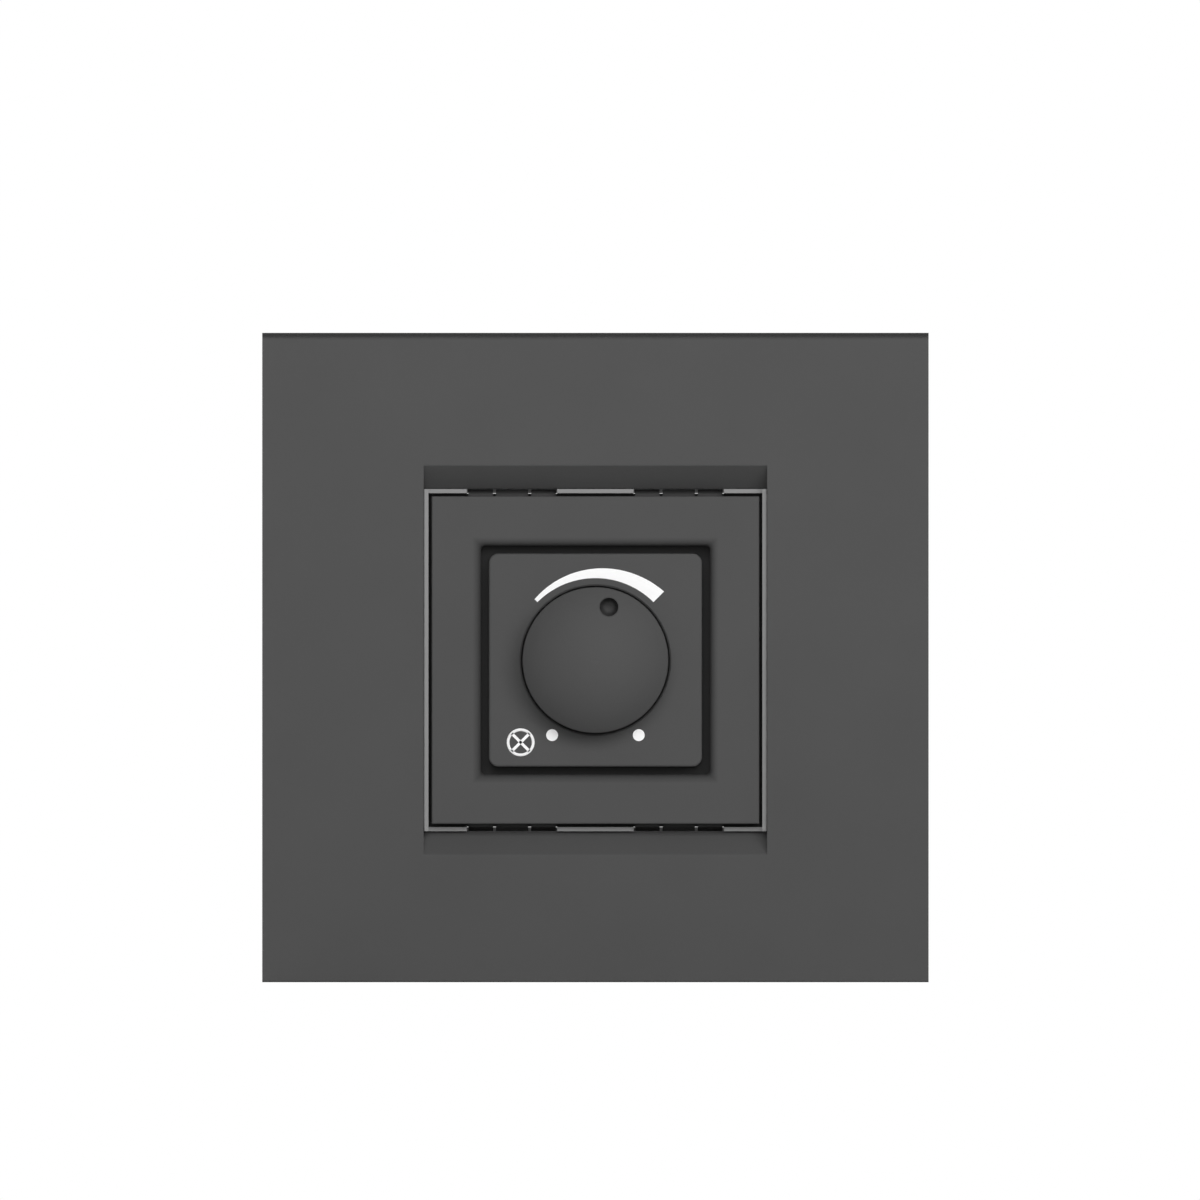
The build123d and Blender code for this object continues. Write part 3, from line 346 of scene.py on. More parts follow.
# %% Circuit board
raster, run_length, track_width, track_share = 2.54 * MM, 12.7 * MM, 0.8 * MM, 0.42
cell_middle, weave_size = 0.5, 0.5 * MM
board_mask, tree, shader, place = start_material("green_solder_mask_on_glass_epoxy")
runs = []
for cell_width, cell_height, axis in ((run_length, raster, "Z"), (raster, run_length, "X")):
    split = {"Vector": place, "Scale": (1 / cell_width, 0, 1 / cell_height)}
    cells = add_node(tree, "ShaderNodeMapping", split)
    cell = add_node(tree, "ShaderNodeVectorMath", {0: cells}, operation="FLOOR")
    chance = add_node(tree, "ShaderNodeTexWhiteNoise", {"Vector": cell})
    draw = {0: chance.outputs["Value"], 1: track_share}
    taken = add_node(tree, "ShaderNodeMath", draw, operation="LESS_THAN")
    inside = add_node(tree, "ShaderNodeVectorMath", {0: cells}, operation="FRACTION")
    part = add_node(tree, "ShaderNodeSeparateXYZ", {0: inside})
    near = {0: part.outputs[axis], 1: cell_middle, 2: track_width / 2 / raster}
    line = add_node(tree, "ShaderNodeMath", near, operation="COMPARE")
    runs.append(add_node(tree, "ShaderNodeMath", {0: taken, 1: line}, operation="MULTIPLY"))
tracks = add_node(tree, "ShaderNodeMath", {0: runs[0], 1: runs[1]}, operation="MAXIMUM")
mix = {0: tracks, 6: linear("#1b5532"), 7: linear("#2f7a49")}
tint = add_node(tree, "ShaderNodeMix", mix, data_type="RGBA")
weave = add_node(tree, "ShaderNodeTexNoise", {"Vector": place, "Scale": 1 / weave_size, "Detail": 1.0})
cloth = add_node(tree, "ShaderNodeBump", {"Height": weave, "Strength": 0.3, "Distance": 0.01 * MM})
fill_sockets(tree, shader, {"Base Color": tint.outputs[2], "Normal": cloth, "Roughness": 0.3})
dress(board_mask, "circuit_board")

# %% [markdown]
# A triac is a chip on a tinned copper tab, moulded in black epoxy. Tab, leads and body are one solid here,
# so the material tells metal from epoxy by place: the tab is the front 1.3 mm, and the leads are all that
# lies below the body.

# %% Triac
tab_thickness, body_foot, epoxy_grain = 1.3 * MM, -5.8 * MM, 0.5 * MM
tab_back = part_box("triac")[0].y + tab_thickness
triac_case, tree, shader, place = start_material("moulded_black_epoxy_with_tinned_tab")
spot = add_node(tree, "ShaderNodeSeparateXYZ", {0: place})
tab = add_node(tree, "ShaderNodeMath", {0: spot.outputs["Y"], 1: tab_back}, operation="LESS_THAN")
leads = add_node(tree, "ShaderNodeMath", {0: spot.outputs["Z"], 1: body_foot}, operation="LESS_THAN")
metal = add_node(tree, "ShaderNodeMath", {0: tab, 1: leads}, operation="MAXIMUM")
grain = add_node(tree, "ShaderNodeTexNoise", {"Vector": place, "Scale": 1 / epoxy_grain, "Detail": 3.0})
mix = {0: metal, 6: linear("#1c1c1d"), 7: linear("#c4c4c2")}
tint = add_node(tree, "ShaderNodeMix", mix, data_type="RGBA")
skin = add_node(tree, "ShaderNodeBump", {"Height": grain, "Strength": 0.2, "Distance": 0.02 * MM})
look = {"Base Color": tint.outputs[2], "Metallic": metal, "Normal": skin, "Roughness": 0.42}
fill_sockets(tree, shader, look)
dress(triac_case, "triac")

# %% [markdown]
# Resistors and the diac are small rods with tinned wires. A resistor's value is given by colour bands on
# beige lacquer, and the diac is a blue glazed bead with one pale band. Both rods lie along x, so a colour
# ramp over x with hard steps paints lacquer, bands and wires in one go. The ramp covers the length from
# one bent wire to the other, and its first and last steps are the wires.

# %% Banded parts
rod_middle, drip_size, drip_depth = 0.5, 1.2 * MM, 0.05 * MM


def banded_rod(name, node, bands):
    """A coat with hard-edged bands along x, from one end of the node to the other, where it is metal."""
    low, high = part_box(node)
    material, tree, shader, place = start_material(name)
    spot = add_node(tree, "ShaderNodeSeparateXYZ", {0: place})
    span = {"Value": spot.outputs["X"], "From Min": low.x, "From Max": high.x}
    share = add_node(tree, "ShaderNodeMapRange", span)
    ramp = add_node(tree, "ShaderNodeValToRGB", {0: share})
    ramp.color_ramp.interpolation = "CONSTANT"
    stops = ramp.color_ramp.elements
    for start, _ in bands[1:-1]:
        stops.new(start)
    for stop, (start, colour) in zip(stops, bands):
        stop.position, stop.color = start, linear(colour)
    middle = {0: share, 1: rod_middle, 2: rod_middle - bands[1][0]}
    body = add_node(tree, "ShaderNodeMath", middle, operation="COMPARE")
    wire = add_node(tree, "ShaderNodeMath", {0: 1.0, 1: body}, operation="SUBTRACT")
    drips = add_node(tree, "ShaderNodeTexNoise", {"Vector": place, "Scale": 1 / drip_size, "Detail": 1.0})
    coat = add_node(tree, "ShaderNodeBump", {"Height": drips, "Strength": 0.3, "Distance": drip_depth})
    fill_sockets(tree, shader, {"Base Color": ramp, "Metallic": wire, "Normal": coat, "Roughness": 0.3})
    dress(material, node)


tin, beige, brown, black = "#c4c4c2", "#c9ad84", "#6a3a1e", "#1a1a1a"
orange, gold, blue, pale_blue = "#c0701f", "#b08a3a", "#3c5a8e", "#c8cdd6"
resistor_bands = [(0.0, tin), (0.22, beige), (0.29, brown), (0.35, beige), (0.41, black), (0.47, beige)]
resistor_bands += [(0.53, orange), (0.59, beige), (0.68, gold), (0.73, beige), (0.78, tin)]
diac_bands = [(0.0, tin), (0.25, blue), (0.6, pale_blue), (0.66, blue), (0.75, tin)]
banded_rod("lacquered_resistor_with_bands", "resistors", resistor_bands)
banded_rod("glazed_diac_with_band", "diac", diac_bands)

# %% [markdown]
# The brightness scale is pad-printed on the scale plate: a silicone pad lifts white ink from an etched
# plate and presses it on. Ink of this kind lies as a thin, even film, a little glossier than the plastic
# around it.

# %% White ink
ink_film, ink_cloud = 0.03 * MM, 0.5 * MM
white_ink, tree, shader, place = start_material("white_ink_pad_printed")
film = add_node(tree, "ShaderNodeTexNoise", {"Vector": place, "Scale": 1 / ink_cloud, "Detail": 2.0})
mix = {0: film, 6: linear("#fafafa"), 7: linear("#ffffff")}
tint = add_node(tree, "ShaderNodeMix", mix, data_type="RGBA")
fill_sockets(tree, shader, {"Base Color": tint.outputs[2], "Roughness": 0.5})
print("ink:", white_ink.name)

# %% [markdown]
# Geometry Nodes build a shape from a rule, and a tree with named inputs can be tried with other sizes.
# Three helpers do the usual work. One opens a tree with its inputs and one closes it with a material. The
# last sets the inputs, lets the tree run once, and keeps the result as a plain mesh, because the exported
# model holds meshes and no node trees.

# %% Helpers for geometry trees
def open_tree(name, sizes):
    """A geometry node tree with one named number input for each size."""
    tree = bpy.data.node_groups.new(name, "GeometryNodeTree")
    for label in sizes:
        tree.interface.new_socket(label, in_out="INPUT", socket_type="NodeSocketFloat")
    tree.interface.new_socket("Geometry", in_out="OUTPUT", socket_type="NodeSocketGeometry")
    return tree, add_node(tree, "NodeGroupInput").outputs


def close_tree(tree, shape, material):
    """Makes the shape's instances real and gives it its material."""
    real = add_node(tree, "GeometryNodeRealizeInstances", {0: shape})
    coated = add_node(tree, "GeometryNodeSetMaterial", {"Geometry": real, "Material": material})
    add_node(tree, "NodeGroupOutput", {0: coated})


def grow(name, tree, sizes, body):
    """Runs a geometry tree on an empty mesh, keeps the result as a plain mesh and lets it ride on a body."""
    piece = bpy.data.objects.new(name, bpy.data.meshes.new(name))
    bpy.context.scene.collection.objects.link(piece)
    modifier = piece.modifiers.new(name, "NODES")
    modifier.node_group = tree
    for socket in tree.interface.items_tree:
        if socket.in_out == "INPUT":
            modifier[socket.identifier] = sizes[socket.name]
    grown = bpy.data.meshes.new_from_object(piece.evaluated_get(bpy.context.evaluated_depsgraph_get()))
    piece.modifiers.remove(modifier)
    piece.data = grown
    print(name, "has", len(grown.polygons), "faces")
    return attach(piece, body)


# %% [markdown]
# The scale is a wedge bent round the knob: thin on the left for dim, thick on the right for bright. A long
# flat block, from -0.5 to 0.5 each way, is bent by giving every point a new place: its x becomes an angle,
# its y a distance from the knob's axis that grows along the wedge, and its z the height of the ink. A
# curve with a changing radius would also do, but its ends would not be cut square.

# %% The wedge of the scale
wedge_sizes = {
    "Face": scale_face,
    "Ink": ink_film,
    "Inner radius": 11.08 * MM,
    "Thin end": 0.54 * MM,
    "Thick end": 2.02 * MM,
    "Half sweep": math.radians(45),
}
wedge_steps, block_half = 96, 0.5
tree, size = open_tree("scale_wedge", wedge_sizes)
block = add_node(tree, "GeometryNodeMeshCube", {"Size": (1, 1, 1), "Vertices X": wedge_steps + 1})
point = add_node(tree, "GeometryNodeInputPosition")
part = add_node(tree, "ShaderNodeSeparateXYZ", {0: point})
along = add_node(tree, "ShaderNodeMath", {0: part.outputs["X"], 1: block_half}, operation="DIVIDE")
angle = add_node(tree, "ShaderNodeMath", {0: along, 1: size["Half sweep"]}, operation="MULTIPLY")
span = {"Value": part.outputs["X"], "From Min": -block_half, "From Max": block_half}
span |= {"To Min": size["Thin end"], "To Max": size["Thick end"]}
width = add_node(tree, "ShaderNodeMapRange", span)
across = add_node(tree, "ShaderNodeMath", {0: part.outputs["Y"], 1: block_half}, operation="ADD")
reach = {0: across, 1: width, 2: size["Inner radius"]}
radius = add_node(tree, "ShaderNodeMath", reach, operation="MULTIPLY_ADD")
sine = add_node(tree, "ShaderNodeMath", {0: angle}, operation="SINE")
cosine = add_node(tree, "ShaderNodeMath", {0: angle}, operation="COSINE")
right = add_node(tree, "ShaderNodeMath", {0: radius, 1: sine}, operation="MULTIPLY")
up = add_node(tree, "ShaderNodeMath", {0: radius, 1: cosine}, operation="MULTIPLY")
layer = add_node(tree, "ShaderNodeMath", {0: -block_half, 1: part.outputs["Z"]}, operation="SUBTRACT")
film = {0: layer, 1: size["Ink"], 2: size["Face"]}
depth = add_node(tree, "ShaderNodeMath", film, operation="MULTIPLY_ADD")
bent = add_node(tree, "ShaderNodeCombineXYZ", {"X": right, "Y": depth, "Z": up})
wedge = add_node(tree, "GeometryNodeSetPosition", {"Geometry": block, "Position": bent})
close_tree(tree, wedge, white_ink)
grow("scale_wedge", tree, wedge_sizes, "base")

# %% [markdown]
# Two dots show where the knob's turn ends. They stand at equal angles left and right of the top, and that
# angle is half of the joint's range, so the print and the mechanism agree. One disc is placed on two
# points, whose index, 0 or 1, becomes the side, -1 or 1.

# %% The end dots of the scale
turn_start, turn_end = knob_turn["range_deg"]
dot_sizes = {
    "Face": scale_face,
    "Ink": ink_film,
    "Dot ring": 11.7 * MM,
    "Dot radius": 0.8 * MM,
    "Dot turn": math.radians(turn_end - turn_start) / 2,
}
dot_edges, quarter_turn = 48, math.radians(90)
facing_front = (quarter_turn, 0, 0)
tree, size = open_tree("scale_dots", dot_sizes)
index = add_node(tree, "GeometryNodeInputIndex")
side = add_node(tree, "ShaderNodeMath", {0: index, 1: 2.0, 2: -1.0}, operation="MULTIPLY_ADD")
turn = add_node(tree, "ShaderNodeMath", {0: side, 1: size["Dot turn"]}, operation="MULTIPLY")
sine = add_node(tree, "ShaderNodeMath", {0: turn}, operation="SINE")
cosine = add_node(tree, "ShaderNodeMath", {0: turn}, operation="COSINE")
right = add_node(tree, "ShaderNodeMath", {0: size["Dot ring"], 1: sine}, operation="MULTIPLY")
up = add_node(tree, "ShaderNodeMath", {0: size["Dot ring"], 1: cosine}, operation="MULTIPLY")
film = {0: size["Ink"], 1: -0.5, 2: size["Face"]}
depth = add_node(tree, "ShaderNodeMath", film, operation="MULTIPLY_ADD")
spot = add_node(tree, "ShaderNodeCombineXYZ", {"X": right, "Y": depth, "Z": up})
ends = add_node(tree, "GeometryNodePoints", {"Count": 2, "Position": spot})
disc = {"Vertices": dot_edges, "Radius": size["Dot radius"], "Depth": size["Ink"]}
dot = add_node(tree, "GeometryNodeMeshCylinder", disc)
placed = {"Points": ends, "Instance": dot, "Rotation": facing_front}
dots = add_node(tree, "GeometryNodeInstanceOnPoints", placed)
close_tree(tree, dots, white_ink)
grow("scale_dots", tree, dot_sizes, "base")

# %% [markdown]
# In the lower left corner of the scale plate stands the usual drawing sign for a lamp: a circle with a
# cross in it. The circle is a curve with a flat band as its profile, and the cross is one bar on two
# points, turned once to each side.

# %% The lamp sign
sign_sizes = {
    "Right": -10.1 * MM,
    "Front": scale_face - ink_film / 2,
    "Up": -11.1 * MM,
    "Radius": 1.7 * MM,
    "Line": 0.38 * MM,
    "Ink": ink_film,
}
circle_edges = 64
tree, size = open_tree("lamp_sign", sign_sizes)
ring = {"Resolution": circle_edges, "Radius": size["Radius"]}
circle = add_node(tree, "GeometryNodeCurvePrimitiveCircle", ring)
band = {"Width": size["Line"], "Height": size["Ink"]}
profile = add_node(tree, "GeometryNodeCurvePrimitiveQuadrilateral", band)
hoop = add_node(tree, "GeometryNodeCurveToMesh", {"Curve": circle, "Profile Curve": profile})
across = add_node(tree, "ShaderNodeMath", {0: size["Radius"], 1: 2.0}, operation="MULTIPLY")
beam = add_node(tree, "ShaderNodeCombineXYZ", {"X": across, "Y": size["Line"], "Z": size["Ink"]})
bar = add_node(tree, "GeometryNodeMeshCube", {"Size": beam})
index = add_node(tree, "GeometryNodeInputIndex")
lean = {0: index, 1: quarter_turn, 2: quarter_turn / 2}
tilt = add_node(tree, "ShaderNodeMath", lean, operation="MULTIPLY_ADD")
tilted = add_node(tree, "ShaderNodeCombineXYZ", {"Z": tilt})
middle = add_node(tree, "GeometryNodePoints", {"Count": 2})
crossing = {"Points": middle, "Instance": bar, "Rotation": tilted}
cross = add_node(tree, "GeometryNodeInstanceOnPoints", crossing)
flat = add_node(tree, "GeometryNodeJoinGeometry")
for shape in (hoop, cross):
    tree.links.new(shape.outputs[0], flat.inputs[0])
spot = add_node(tree, "ShaderNodeCombineXYZ", {"X": size["Right"], "Y": size["Front"], "Z": size["Up"]})
upright = {"Geometry": flat, "Translation": spot, "Rotation": facing_front}
sign = add_node(tree, "GeometryNodeTransform", upright)
close_tree(tree, sign, white_ink)
grow("lamp_sign", tree, sign_sizes, "base")

# %% [markdown]
# The choke is one layer of enamelled copper wire wound through a ring, which keeps the dimmer from
# disturbing radios. Copper under clear enamel is darker and redder than bare copper, with a glassy coat
# over it.

# %% Enamelled copper
enamel_cloud = 3 * MM
enamelled_copper, tree, shader, place = start_material("enamelled_copper_wire")
age = add_node(tree, "ShaderNodeTexNoise", {"Vector": place, "Scale": 1 / enamel_cloud, "Detail": 2.0})
mix = {0: age, 6: linear("#8f4a22"), 7: linear("#b06432")}
tint = add_node(tree, "ShaderNodeMix", mix, data_type="RGBA")
look = {"Base Color": tint.outputs[2], "Metallic": 1.0, "Roughness": 0.28}
fill_sockets(tree, shader, {**look, "Coat Weight": 0.6, "Coat Roughness": 0.08})
print("wire:", enamelled_copper.name)

# %% [markdown]
# The winding is one wire that circles the ring's section while it creeps round the ring. Its sizes are
# those of the core and half a wire more on each side. The wire is drawn a little thin, so that its turns
# stay apart.

# %% Sizes of the winding
core_low, core_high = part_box("choke_core")
core_radius = (core_high.x - core_low.x) / 2
hole_radius, wire_width, drawn_share = 3.6 * MM, 0.7 * MM, 0.96
coil_sizes = {
    "Centre right": (core_low.x + core_high.x) / 2,
    "Centre back": (core_low.y + core_high.y) / 2,
    "Centre up": (core_low.z + core_high.z) / 2,
    "Ring radius": (core_radius + hole_radius) / 2,
    "Half width": (core_radius - hole_radius) / 2 + wire_width / 2,
    "Half height": (core_high.y - core_low.y) / 2 + wire_width / 2,
    "Wire radius": drawn_share * wire_width / 2,
    "Wound": math.radians(330),
}
print("winding on a ring of", round(2 * core_radius / MM, 1), "mm, wire of", round(wire_width / MM, 1), "mm")

# %% [markdown]
# With two angles that both grow along the wire, every point of a long line gets its place: the fast angle
# goes round the section, the slow one round the ring. A power below one squares off the fast circle to the
# ring's section, so that the wire hugs the core.

# %% The choke's winding
coil_turns, turn_steps, wire_edges, squaring = 26, 36, 8, 0.35
coil_steps = coil_turns * turn_steps
tree, size = open_tree("choke_coil", coil_sizes)
line = add_node(tree, "GeometryNodeMeshLine", {"Count": coil_steps + 1})
path = add_node(tree, "GeometryNodeMeshToCurve", {0: line})
index = add_node(tree, "GeometryNodeInputIndex")
fast = add_node(tree, "ShaderNodeMath", {0: index, 1: 2 * math.pi / turn_steps}, operation="MULTIPLY")
share = add_node(tree, "ShaderNodeMath", {0: index, 1: coil_steps}, operation="DIVIDE")
slow = add_node(tree, "ShaderNodeMath", {0: share, 1: size["Wound"]}, operation="MULTIPLY")
offsets = []
for wave, reach in (("COSINE", "Half width"), ("SINE", "Half height")):
    swing = add_node(tree, "ShaderNodeMath", {0: fast}, operation=wave)
    whole = add_node(tree, "ShaderNodeMath", {0: swing}, operation="ABSOLUTE")
    squared = add_node(tree, "ShaderNodeMath", {0: whole, 1: squaring}, operation="POWER")
    sign = add_node(tree, "ShaderNodeMath", {0: swing}, operation="SIGN")
    signed = add_node(tree, "ShaderNodeMath", {0: squared, 1: sign}, operation="MULTIPLY")
    offsets.append(add_node(tree, "ShaderNodeMath", {0: signed, 1: size[reach]}, operation="MULTIPLY"))
outward = add_node(tree, "ShaderNodeMath", {0: offsets[0], 1: size["Ring radius"]}, operation="ADD")
sine = add_node(tree, "ShaderNodeMath", {0: slow}, operation="SINE")
cosine = add_node(tree, "ShaderNodeMath", {0: slow}, operation="COSINE")
sideways = {0: outward, 1: cosine, 2: size["Centre right"]}
right = add_node(tree, "ShaderNodeMath", sideways, operation="MULTIPLY_ADD")
upwards = {0: outward, 1: sine, 2: size["Centre up"]}
up = add_node(tree, "ShaderNodeMath", upwards, operation="MULTIPLY_ADD")
back = add_node(tree, "ShaderNodeMath", {0: offsets[1], 1: size["Centre back"]}, operation="ADD")
spot = add_node(tree, "ShaderNodeCombineXYZ", {"X": right, "Y": back, "Z": up})
laid = add_node(tree, "GeometryNodeSetPosition", {"Geometry": path, "Position": spot})
ring = {"Resolution": wire_edges, "Radius": size["Wire radius"]}
section = add_node(tree, "GeometryNodeCurvePrimitiveCircle", ring)
sweep = {"Curve": laid, "Profile Curve": section, "Fill Caps": True}
tube = add_node(tree, "GeometryNodeCurveToMesh", sweep)
smooth = add_node(tree, "GeometryNodeSetShadeSmooth", {"Geometry": tube})
close_tree(tree, smooth, enamelled_copper)
choke_coil = grow("choke_coil", tree, coil_sizes, "base")
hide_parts("choke_winding")

# %% [markdown]
# Four screws hold the heat sink to the housing and one holds the triac. Real screws have a domed head with
# a cross recess and a thread, which the solids leave out. The head is a cylinder whose upper rings are
# drawn in, with two crossed bars cut out of it. Its levels run from -1 to 1: the dome starts a little below
# the middle and takes a share of the radius away at the top.

# %% The head of a screw
head_edges, head_rings = 40, 6
dome_start, dome_power, dome_loss = -0.2, 2.5, 0.28


def screw_head(tree, size):
    """A domed head with a cross recess, standing on z = 0."""
    half = add_node(tree, "ShaderNodeMath", {0: size["Head height"], 1: 0.5}, operation="MULTIPLY")
    rod = {"Vertices": head_edges, "Side Segments": head_rings, "Radius": 1.0, "Depth": size["Head height"]}
    blank = add_node(tree, "GeometryNodeMeshCylinder", rod)
    point = add_node(tree, "GeometryNodeInputPosition")
    part = add_node(tree, "ShaderNodeSeparateXYZ", {0: point})
    level = add_node(tree, "ShaderNodeMath", {0: part.outputs["Z"], 1: half}, operation="DIVIDE")
    dome = add_node(tree, "ShaderNodeMapRange", {"Value": level, "From Min": dome_start, "From Max": 1.0})
    arch = add_node(tree, "ShaderNodeMath", {0: dome, 1: dome_power}, operation="POWER")
    drawn = add_node(tree, "ShaderNodeMath", {0: arch, 1: -dome_loss, 2: 1.0}, operation="MULTIPLY_ADD")
    broad = add_node(tree, "ShaderNodeMath", {0: drawn, 1: size["Head radius"]}, operation="MULTIPLY")
    scale = add_node(tree, "ShaderNodeCombineXYZ", {"X": broad, "Y": broad, "Z": 1.0})
    formed = add_node(tree, "ShaderNodeVectorMath", {0: point, 1: scale}, operation="MULTIPLY")
    head = add_node(tree, "GeometryNodeSetPosition", {"Geometry": blank, "Position": formed})
    beam = {"X": size["Recess"], "Y": size["Slit"], "Z": size["Head height"]}
    beam = add_node(tree, "ShaderNodeCombineXYZ", beam)
    bar = add_node(tree, "GeometryNodeMeshCube", {"Size": beam})
    raised = add_node(tree, "ShaderNodeCombineXYZ", {"Z": half})
    index = add_node(tree, "GeometryNodeInputIndex")
    quarter = add_node(tree, "ShaderNodeMath", {0: index, 1: quarter_turn}, operation="MULTIPLY")
    turned = add_node(tree, "ShaderNodeCombineXYZ", {"Z": quarter})
    spots = add_node(tree, "GeometryNodePoints", {"Count": 2, "Position": raised})
    crossing = {"Points": spots, "Instance": bar, "Rotation": turned}
    crossed = add_node(tree, "GeometryNodeInstanceOnPoints", crossing)
    cutter = add_node(tree, "GeometryNodeRealizeInstances", {0: crossed})
    cut = {"Mesh 1": head, "Mesh 2": cutter, "Self Intersection": True}
    recessed = add_node(tree, "GeometryNodeMeshBoolean", cut, operation="DIFFERENCE", solver="EXACT")
    return add_node(tree, "GeometryNodeTransform", {"Geometry": recessed, "Translation": raised})


# %% [markdown]
# The thread is a core with a spiral ridge on it, whose section is a square on its corner. Both hang below
# the head, and the ridge ends a little early, so that the screw keeps its length.

# %% The thread of a screw
core_edges, thread_steps, tooth_edges = 24, 24, 4


def screw_thread(tree, size):
    """The core of a screw and the ridge of its thread, hanging below z = 0."""
    rod = {"Vertices": core_edges, "Radius": size["Core radius"], "Depth": size["Length"]}
    core = add_node(tree, "GeometryNodeMeshCylinder", rod)
    sunk = add_node(tree, "ShaderNodeMath", {0: size["Length"], 1: -0.5}, operation="MULTIPLY")
    sunk = add_node(tree, "ShaderNodeCombineXYZ", {"Z": sunk})
    shank = add_node(tree, "GeometryNodeTransform", {"Geometry": core, "Translation": sunk})
    crest = {0: size["Thread radius"], 1: size["Core radius"]}
    crest = add_node(tree, "ShaderNodeMath", crest, operation="SUBTRACT")
    climb = add_node(tree, "ShaderNodeMath", {0: crest, 1: size["Length"]}, operation="SUBTRACT")
    turns = {0: size["Length"], 1: size["Pitch"]}
    turns = add_node(tree, "ShaderNodeMath", turns, operation="DIVIDE")
    spiral = {"Resolution": thread_steps, "Rotations": turns, "Height": climb}
    spiral |= {"Start Radius": size["Core radius"], "End Radius": size["Core radius"]}
    ridge = add_node(tree, "GeometryNodeCurveSpiral", spiral)
    tooth = {"Resolution": tooth_edges, "Radius": crest}
    tooth = add_node(tree, "GeometryNodeCurvePrimitiveCircle", tooth)
    sweep = {"Curve": ridge, "Profile Curve": tooth, "Fill Caps": True}
    return shank, add_node(tree, "GeometryNodeCurveToMesh", sweep)


# %% [markdown]
# Head and thread are joined to a screw, which is set on as many points as there are screws. The points are
# a grid that is turned upright. All screws of a tree look the same way, and their recesses are turned a
# little, as a screwdriver leaves them.

# %% Screws on their points
screw_labels = ("Head radius", "Head height", "Core radius", "Thread radius", "Length", "Pitch", "Recess")
screw_labels += ("Slit", "Front", "Centre right", "Centre up", "Spread", "Facing")
recess_turn = math.radians(20)


def screw_tree(name, sizes, count, material):
    """Screws along y on a square of points: count is the number of points in each direction."""
    tree, size = open_tree(name, sizes)
    screw = add_node(tree, "GeometryNodeJoinGeometry")
    for piece in (screw_head(tree, size), *screw_thread(tree, size)):
        tree.links.new(piece.outputs[0], screw.inputs[0])
    grid = {"Size X": size["Spread"], "Size Y": size["Spread"], "Vertices X": count, "Vertices Y": count}
    grid = add_node(tree, "GeometryNodeMeshGrid", grid)
    middle = {"X": size["Centre right"], "Y": size["Front"], "Z": size["Centre up"]}
    middle = add_node(tree, "ShaderNodeCombineXYZ", middle)
    upright = {"Geometry": grid, "Translation": middle, "Rotation": facing_front}
    places = add_node(tree, "GeometryNodeTransform", upright)
    aim = add_node(tree, "ShaderNodeCombineXYZ", {"X": size["Facing"], "Y": recess_turn})
    placed = {"Points": places, "Instance": screw, "Rotation": aim}
    screws = add_node(tree, "GeometryNodeInstanceOnPoints", placed)
    close_tree(tree, screws, material)
    return tree


# %% [markdown]
# The chassis screws look forward, with their heads on the heat sink and their threads in the housing's
# posts. The height of the head, the length and the places come from the boxes of the heat sink and of the
# solids that these screws stand for.

# %% The four chassis screws
chassis_low, chassis_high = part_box("chassis_screws")
sink_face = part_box("heat_sink")[0].y
chassis_head = 2.2 * MM
chassis_sizes = dict.fromkeys(screw_labels, 0.0) | {
    "Head radius": chassis_head,
    "Head height": sink_face - chassis_low.y,
    "Core radius": 0.95 * MM,
    "Thread radius": 1.25 * MM,
    "Length": chassis_high.y - sink_face,
    "Pitch": 1.1 * MM,
    "Recess": 2.4 * MM,
    "Slit": 0.6 * MM,
    "Front": sink_face,
    "Spread": chassis_high.x - chassis_low.x - 2 * chassis_head,
    "Facing": quarter_turn,
}
tree = screw_tree("chassis_screw", chassis_sizes, 2, zinc_steel)
sink_screws = grow("sink_screws", tree, chassis_sizes, "base")
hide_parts("chassis_screws")

# %% [markdown]
# The triac's screw is a thicker one of the same kind. Its head presses on the back of the tab, so the same
# tree is asked for one point and for a screw that looks the other way.

# %% The triac's screw
clamp_low, clamp_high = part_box("triac_screw")
clamp_sizes = dict.fromkeys(screw_labels, 0.0) | {
    "Head radius": (clamp_high.x - clamp_low.x) / 2,
    "Head height": clamp_high.y - tab_back,
    "Core radius": 1.2 * MM,
    "Thread radius": 1.5 * MM,
    "Length": tab_back - clamp_low.y,
    "Pitch": 0.8 * MM,
    "Recess": 3.0 * MM,
    "Slit": 0.7 * MM,
    "Front": tab_back,
    "Centre right": (clamp_low.x + clamp_high.x) / 2,
    "Centre up": (clamp_low.z + clamp_high.z) / 2,
    "Facing": -quarter_turn,
}
tree = screw_tree("clamp_screw", clamp_sizes, 1, zinc_steel)
clamp_screw = grow("clamp_screw", tree, clamp_sizes, "base")
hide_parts("triac_screw")

# %% [markdown]
# The switch stands on a pale sheet of studio paper, just under the plate's lower edge. The paper itself is
# a middle grey, so that it throws little light up at the dark plate, and it glows where the camera, a
# reflection or glass looks at it. So it is seen as nearly white and still keeps the object's shadow. The
# Light Path node tells those looks from plain light.

# %% Floor
floor_reach, floor_gap, floor_glow, paper_cloud = 1.5, 0.1 * MM, 0.7, 30 * MM


def looked_at(tree):
    """A node that gives 1 where the camera, a reflection or glass looks, and 0 for plain light."""
    seen = add_node(tree, "ShaderNodeLightPath").outputs
    look = {0: seen["Is Camera Ray"], 1: seen["Is Glossy Ray"]}
    look = add_node(tree, "ShaderNodeMath", look, operation="ADD")
    return add_node(tree, "ShaderNodeMath", {0: look, 1: seen["Is Transmission Ray"]}, operation="ADD")


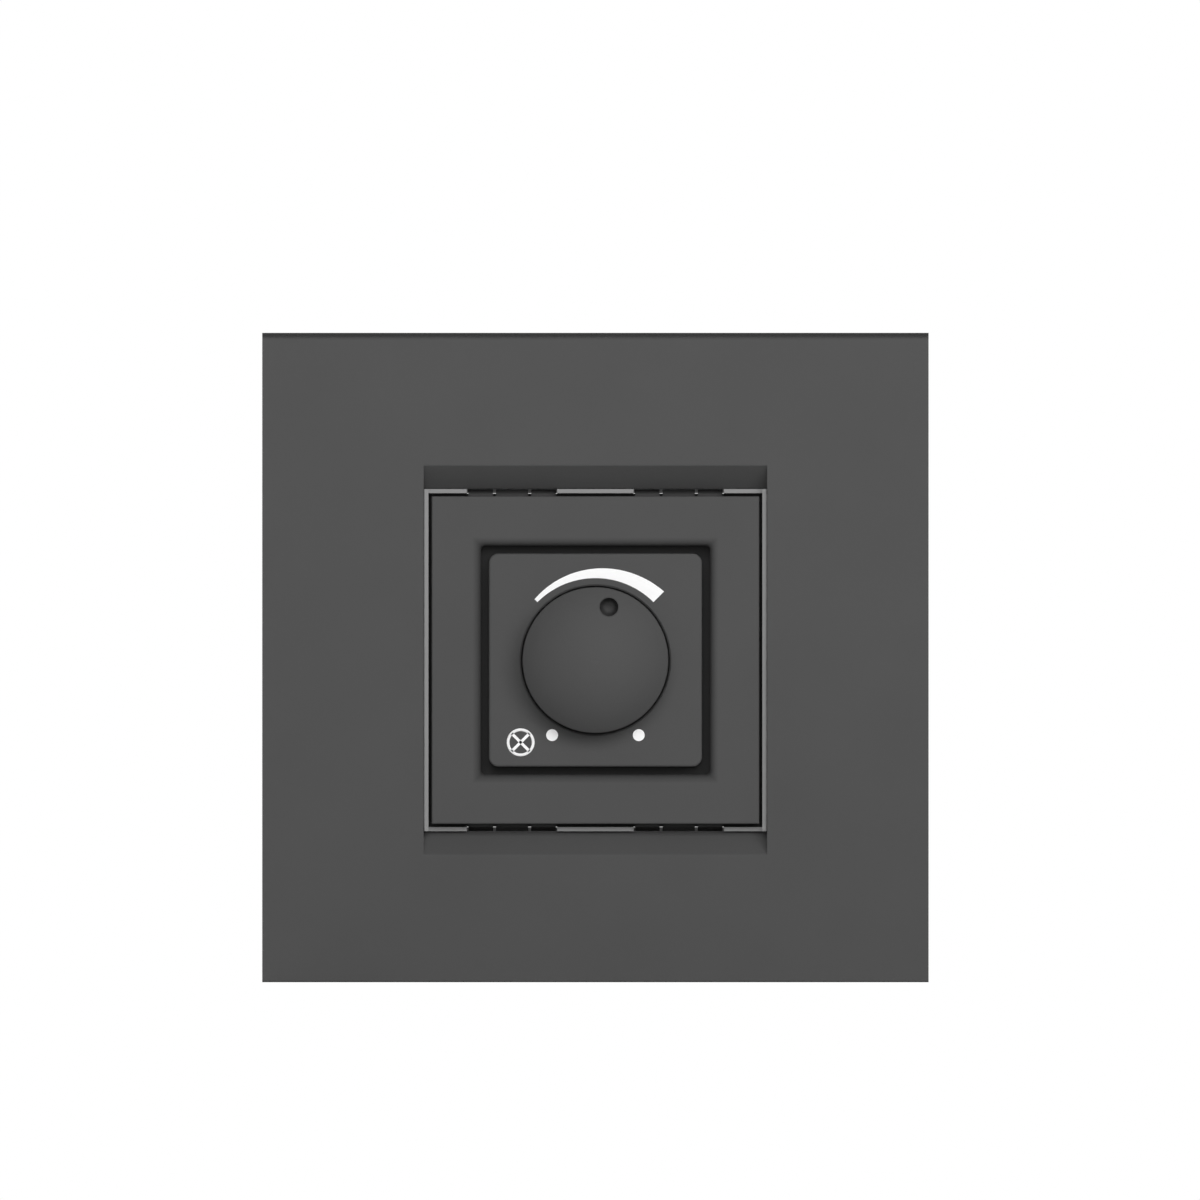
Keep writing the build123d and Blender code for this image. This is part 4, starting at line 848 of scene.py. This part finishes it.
pale_floor, tree, shader, place = start_material("pale_studio_floor")
paper = add_node(tree, "ShaderNodeTexNoise", {"Vector": place, "Scale": 1 / paper_cloud, "Detail": 2.0})
mix = {0: paper, 6: linear("#b4b4b4"), 7: linear("#bababa")}
tint = add_node(tree, "ShaderNodeMix", mix, data_type="RGBA")
glow = add_node(tree, "ShaderNodeMath", {0: looked_at(tree), 1: floor_glow}, operation="MULTIPLY")
look = {"Base Color": tint.outputs[2], "Roughness": 0.9}
fill_sockets(tree, shader, {**look, "Emission Color": linear("#ffffff"), "Emission Strength": glow})
floor_up = plate_low.z - floor_gap
corners = [(x * floor_reach, y * floor_reach, floor_up) for x, y in ((-1, -1), (1, -1), (1, 1), (-1, 1))]
floor_mesh = bpy.data.meshes.new("studio_floor")
floor_mesh.from_pydata(corners, [], [(0, 1, 2, 3)])
floor_mesh.materials.append(pale_floor)
floor = bpy.data.objects.new("studio_floor", floor_mesh)
bpy.context.scene.collection.objects.link(floor)
print("floor at z", round(floor_up / MM, 1), "mm")

# %% [markdown]
# The world is the room around the switch. It gives hardly any light, because the lamps do that, but it is
# white wherever the camera, a reflection or glass looks at it, and that makes the background white. The
# view transform Standard shows colours as they are written.

# %% World
world_light, world_look = 0.1, 1.0
scene = bpy.context.scene
scene.view_settings.view_transform = "Standard"
world = bpy.data.worlds.new("studio")
scene.world = world
world.use_nodes = True
tree = world.node_tree
levels = {"Value": looked_at(tree), "To Min": world_light, "To Max": world_look}
level = add_node(tree, "ShaderNodeMapRange", levels)
fill_sockets(tree, tree.nodes["Background"], {"Color": linear("#ffffff"), "Strength": level})
print("world:", world.name)

# %% [markdown]
# One wide soft lamp lights the front. It hangs above and to the right and shines straight back, so the
# light falls off slowly towards the lower left, as in the photograph. A weak lamp far behind the camera
# reaches into the narrow gaps, which would be black without it. A third one stands behind the plate and to
# its side for views from the back; straight behind, it would only be mirrored in the screws. The camera
# sees none of them.

# %% Lamps
def studio_lamp(name, place, target, width, height, power):
    """A soft rectangular lamp at a place, turned towards a target."""
    data = bpy.data.lights.new(name, "AREA")
    data.shape = "RECTANGLE"
    data.size, data.size_y, data.energy = width, height, power
    lamp = bpy.data.objects.new(name, data)
    lamp.location = place
    lamp.rotation_euler = (Vector(target) - Vector(place)).to_track_quat("-Z", "Y").to_euler()
    lamp.visible_camera = False
    scene.collection.objects.link(lamp)
    print(name, "lamp of", power, "W")


key_place, straight_back = Vector((0.2, -0.65, 0.27)), Vector((0, 1, 0))
front_place, rear_place, origin = (0, -3, 0), (-0.55, 0.5, 0.06), (0, 0, 0)
studio_lamp("key", key_place, key_place + straight_back, width=0.8, height=0.4, power=4.6)
studio_lamp("front_fill", front_place, origin, width=0.5, height=0.5, power=18.0)
studio_lamp("rear_fill", rear_place, origin, width=0.6, height=0.4, power=9.0)

# %% [markdown]
# The photograph was taken straight from the front with hardly any perspective, so the camera is
# orthographic. The plate fills a little more than half of the picture's width and sits a little below its
# middle.

# %% Camera
picture_width, camera_place = 0.16207, (0.00062, -0.6, 0.00812)
camera_data = bpy.data.cameras.new("front_camera")
camera_data.type = "ORTHO"
camera_data.ortho_scale = picture_width
camera = bpy.data.objects.new("front_camera", camera_data)
camera.location = camera_place
camera.rotation_euler = facing_front
scene.collection.objects.link(camera)
scene.camera = camera
print("camera sees", round(picture_width / MM, 1), "mm")
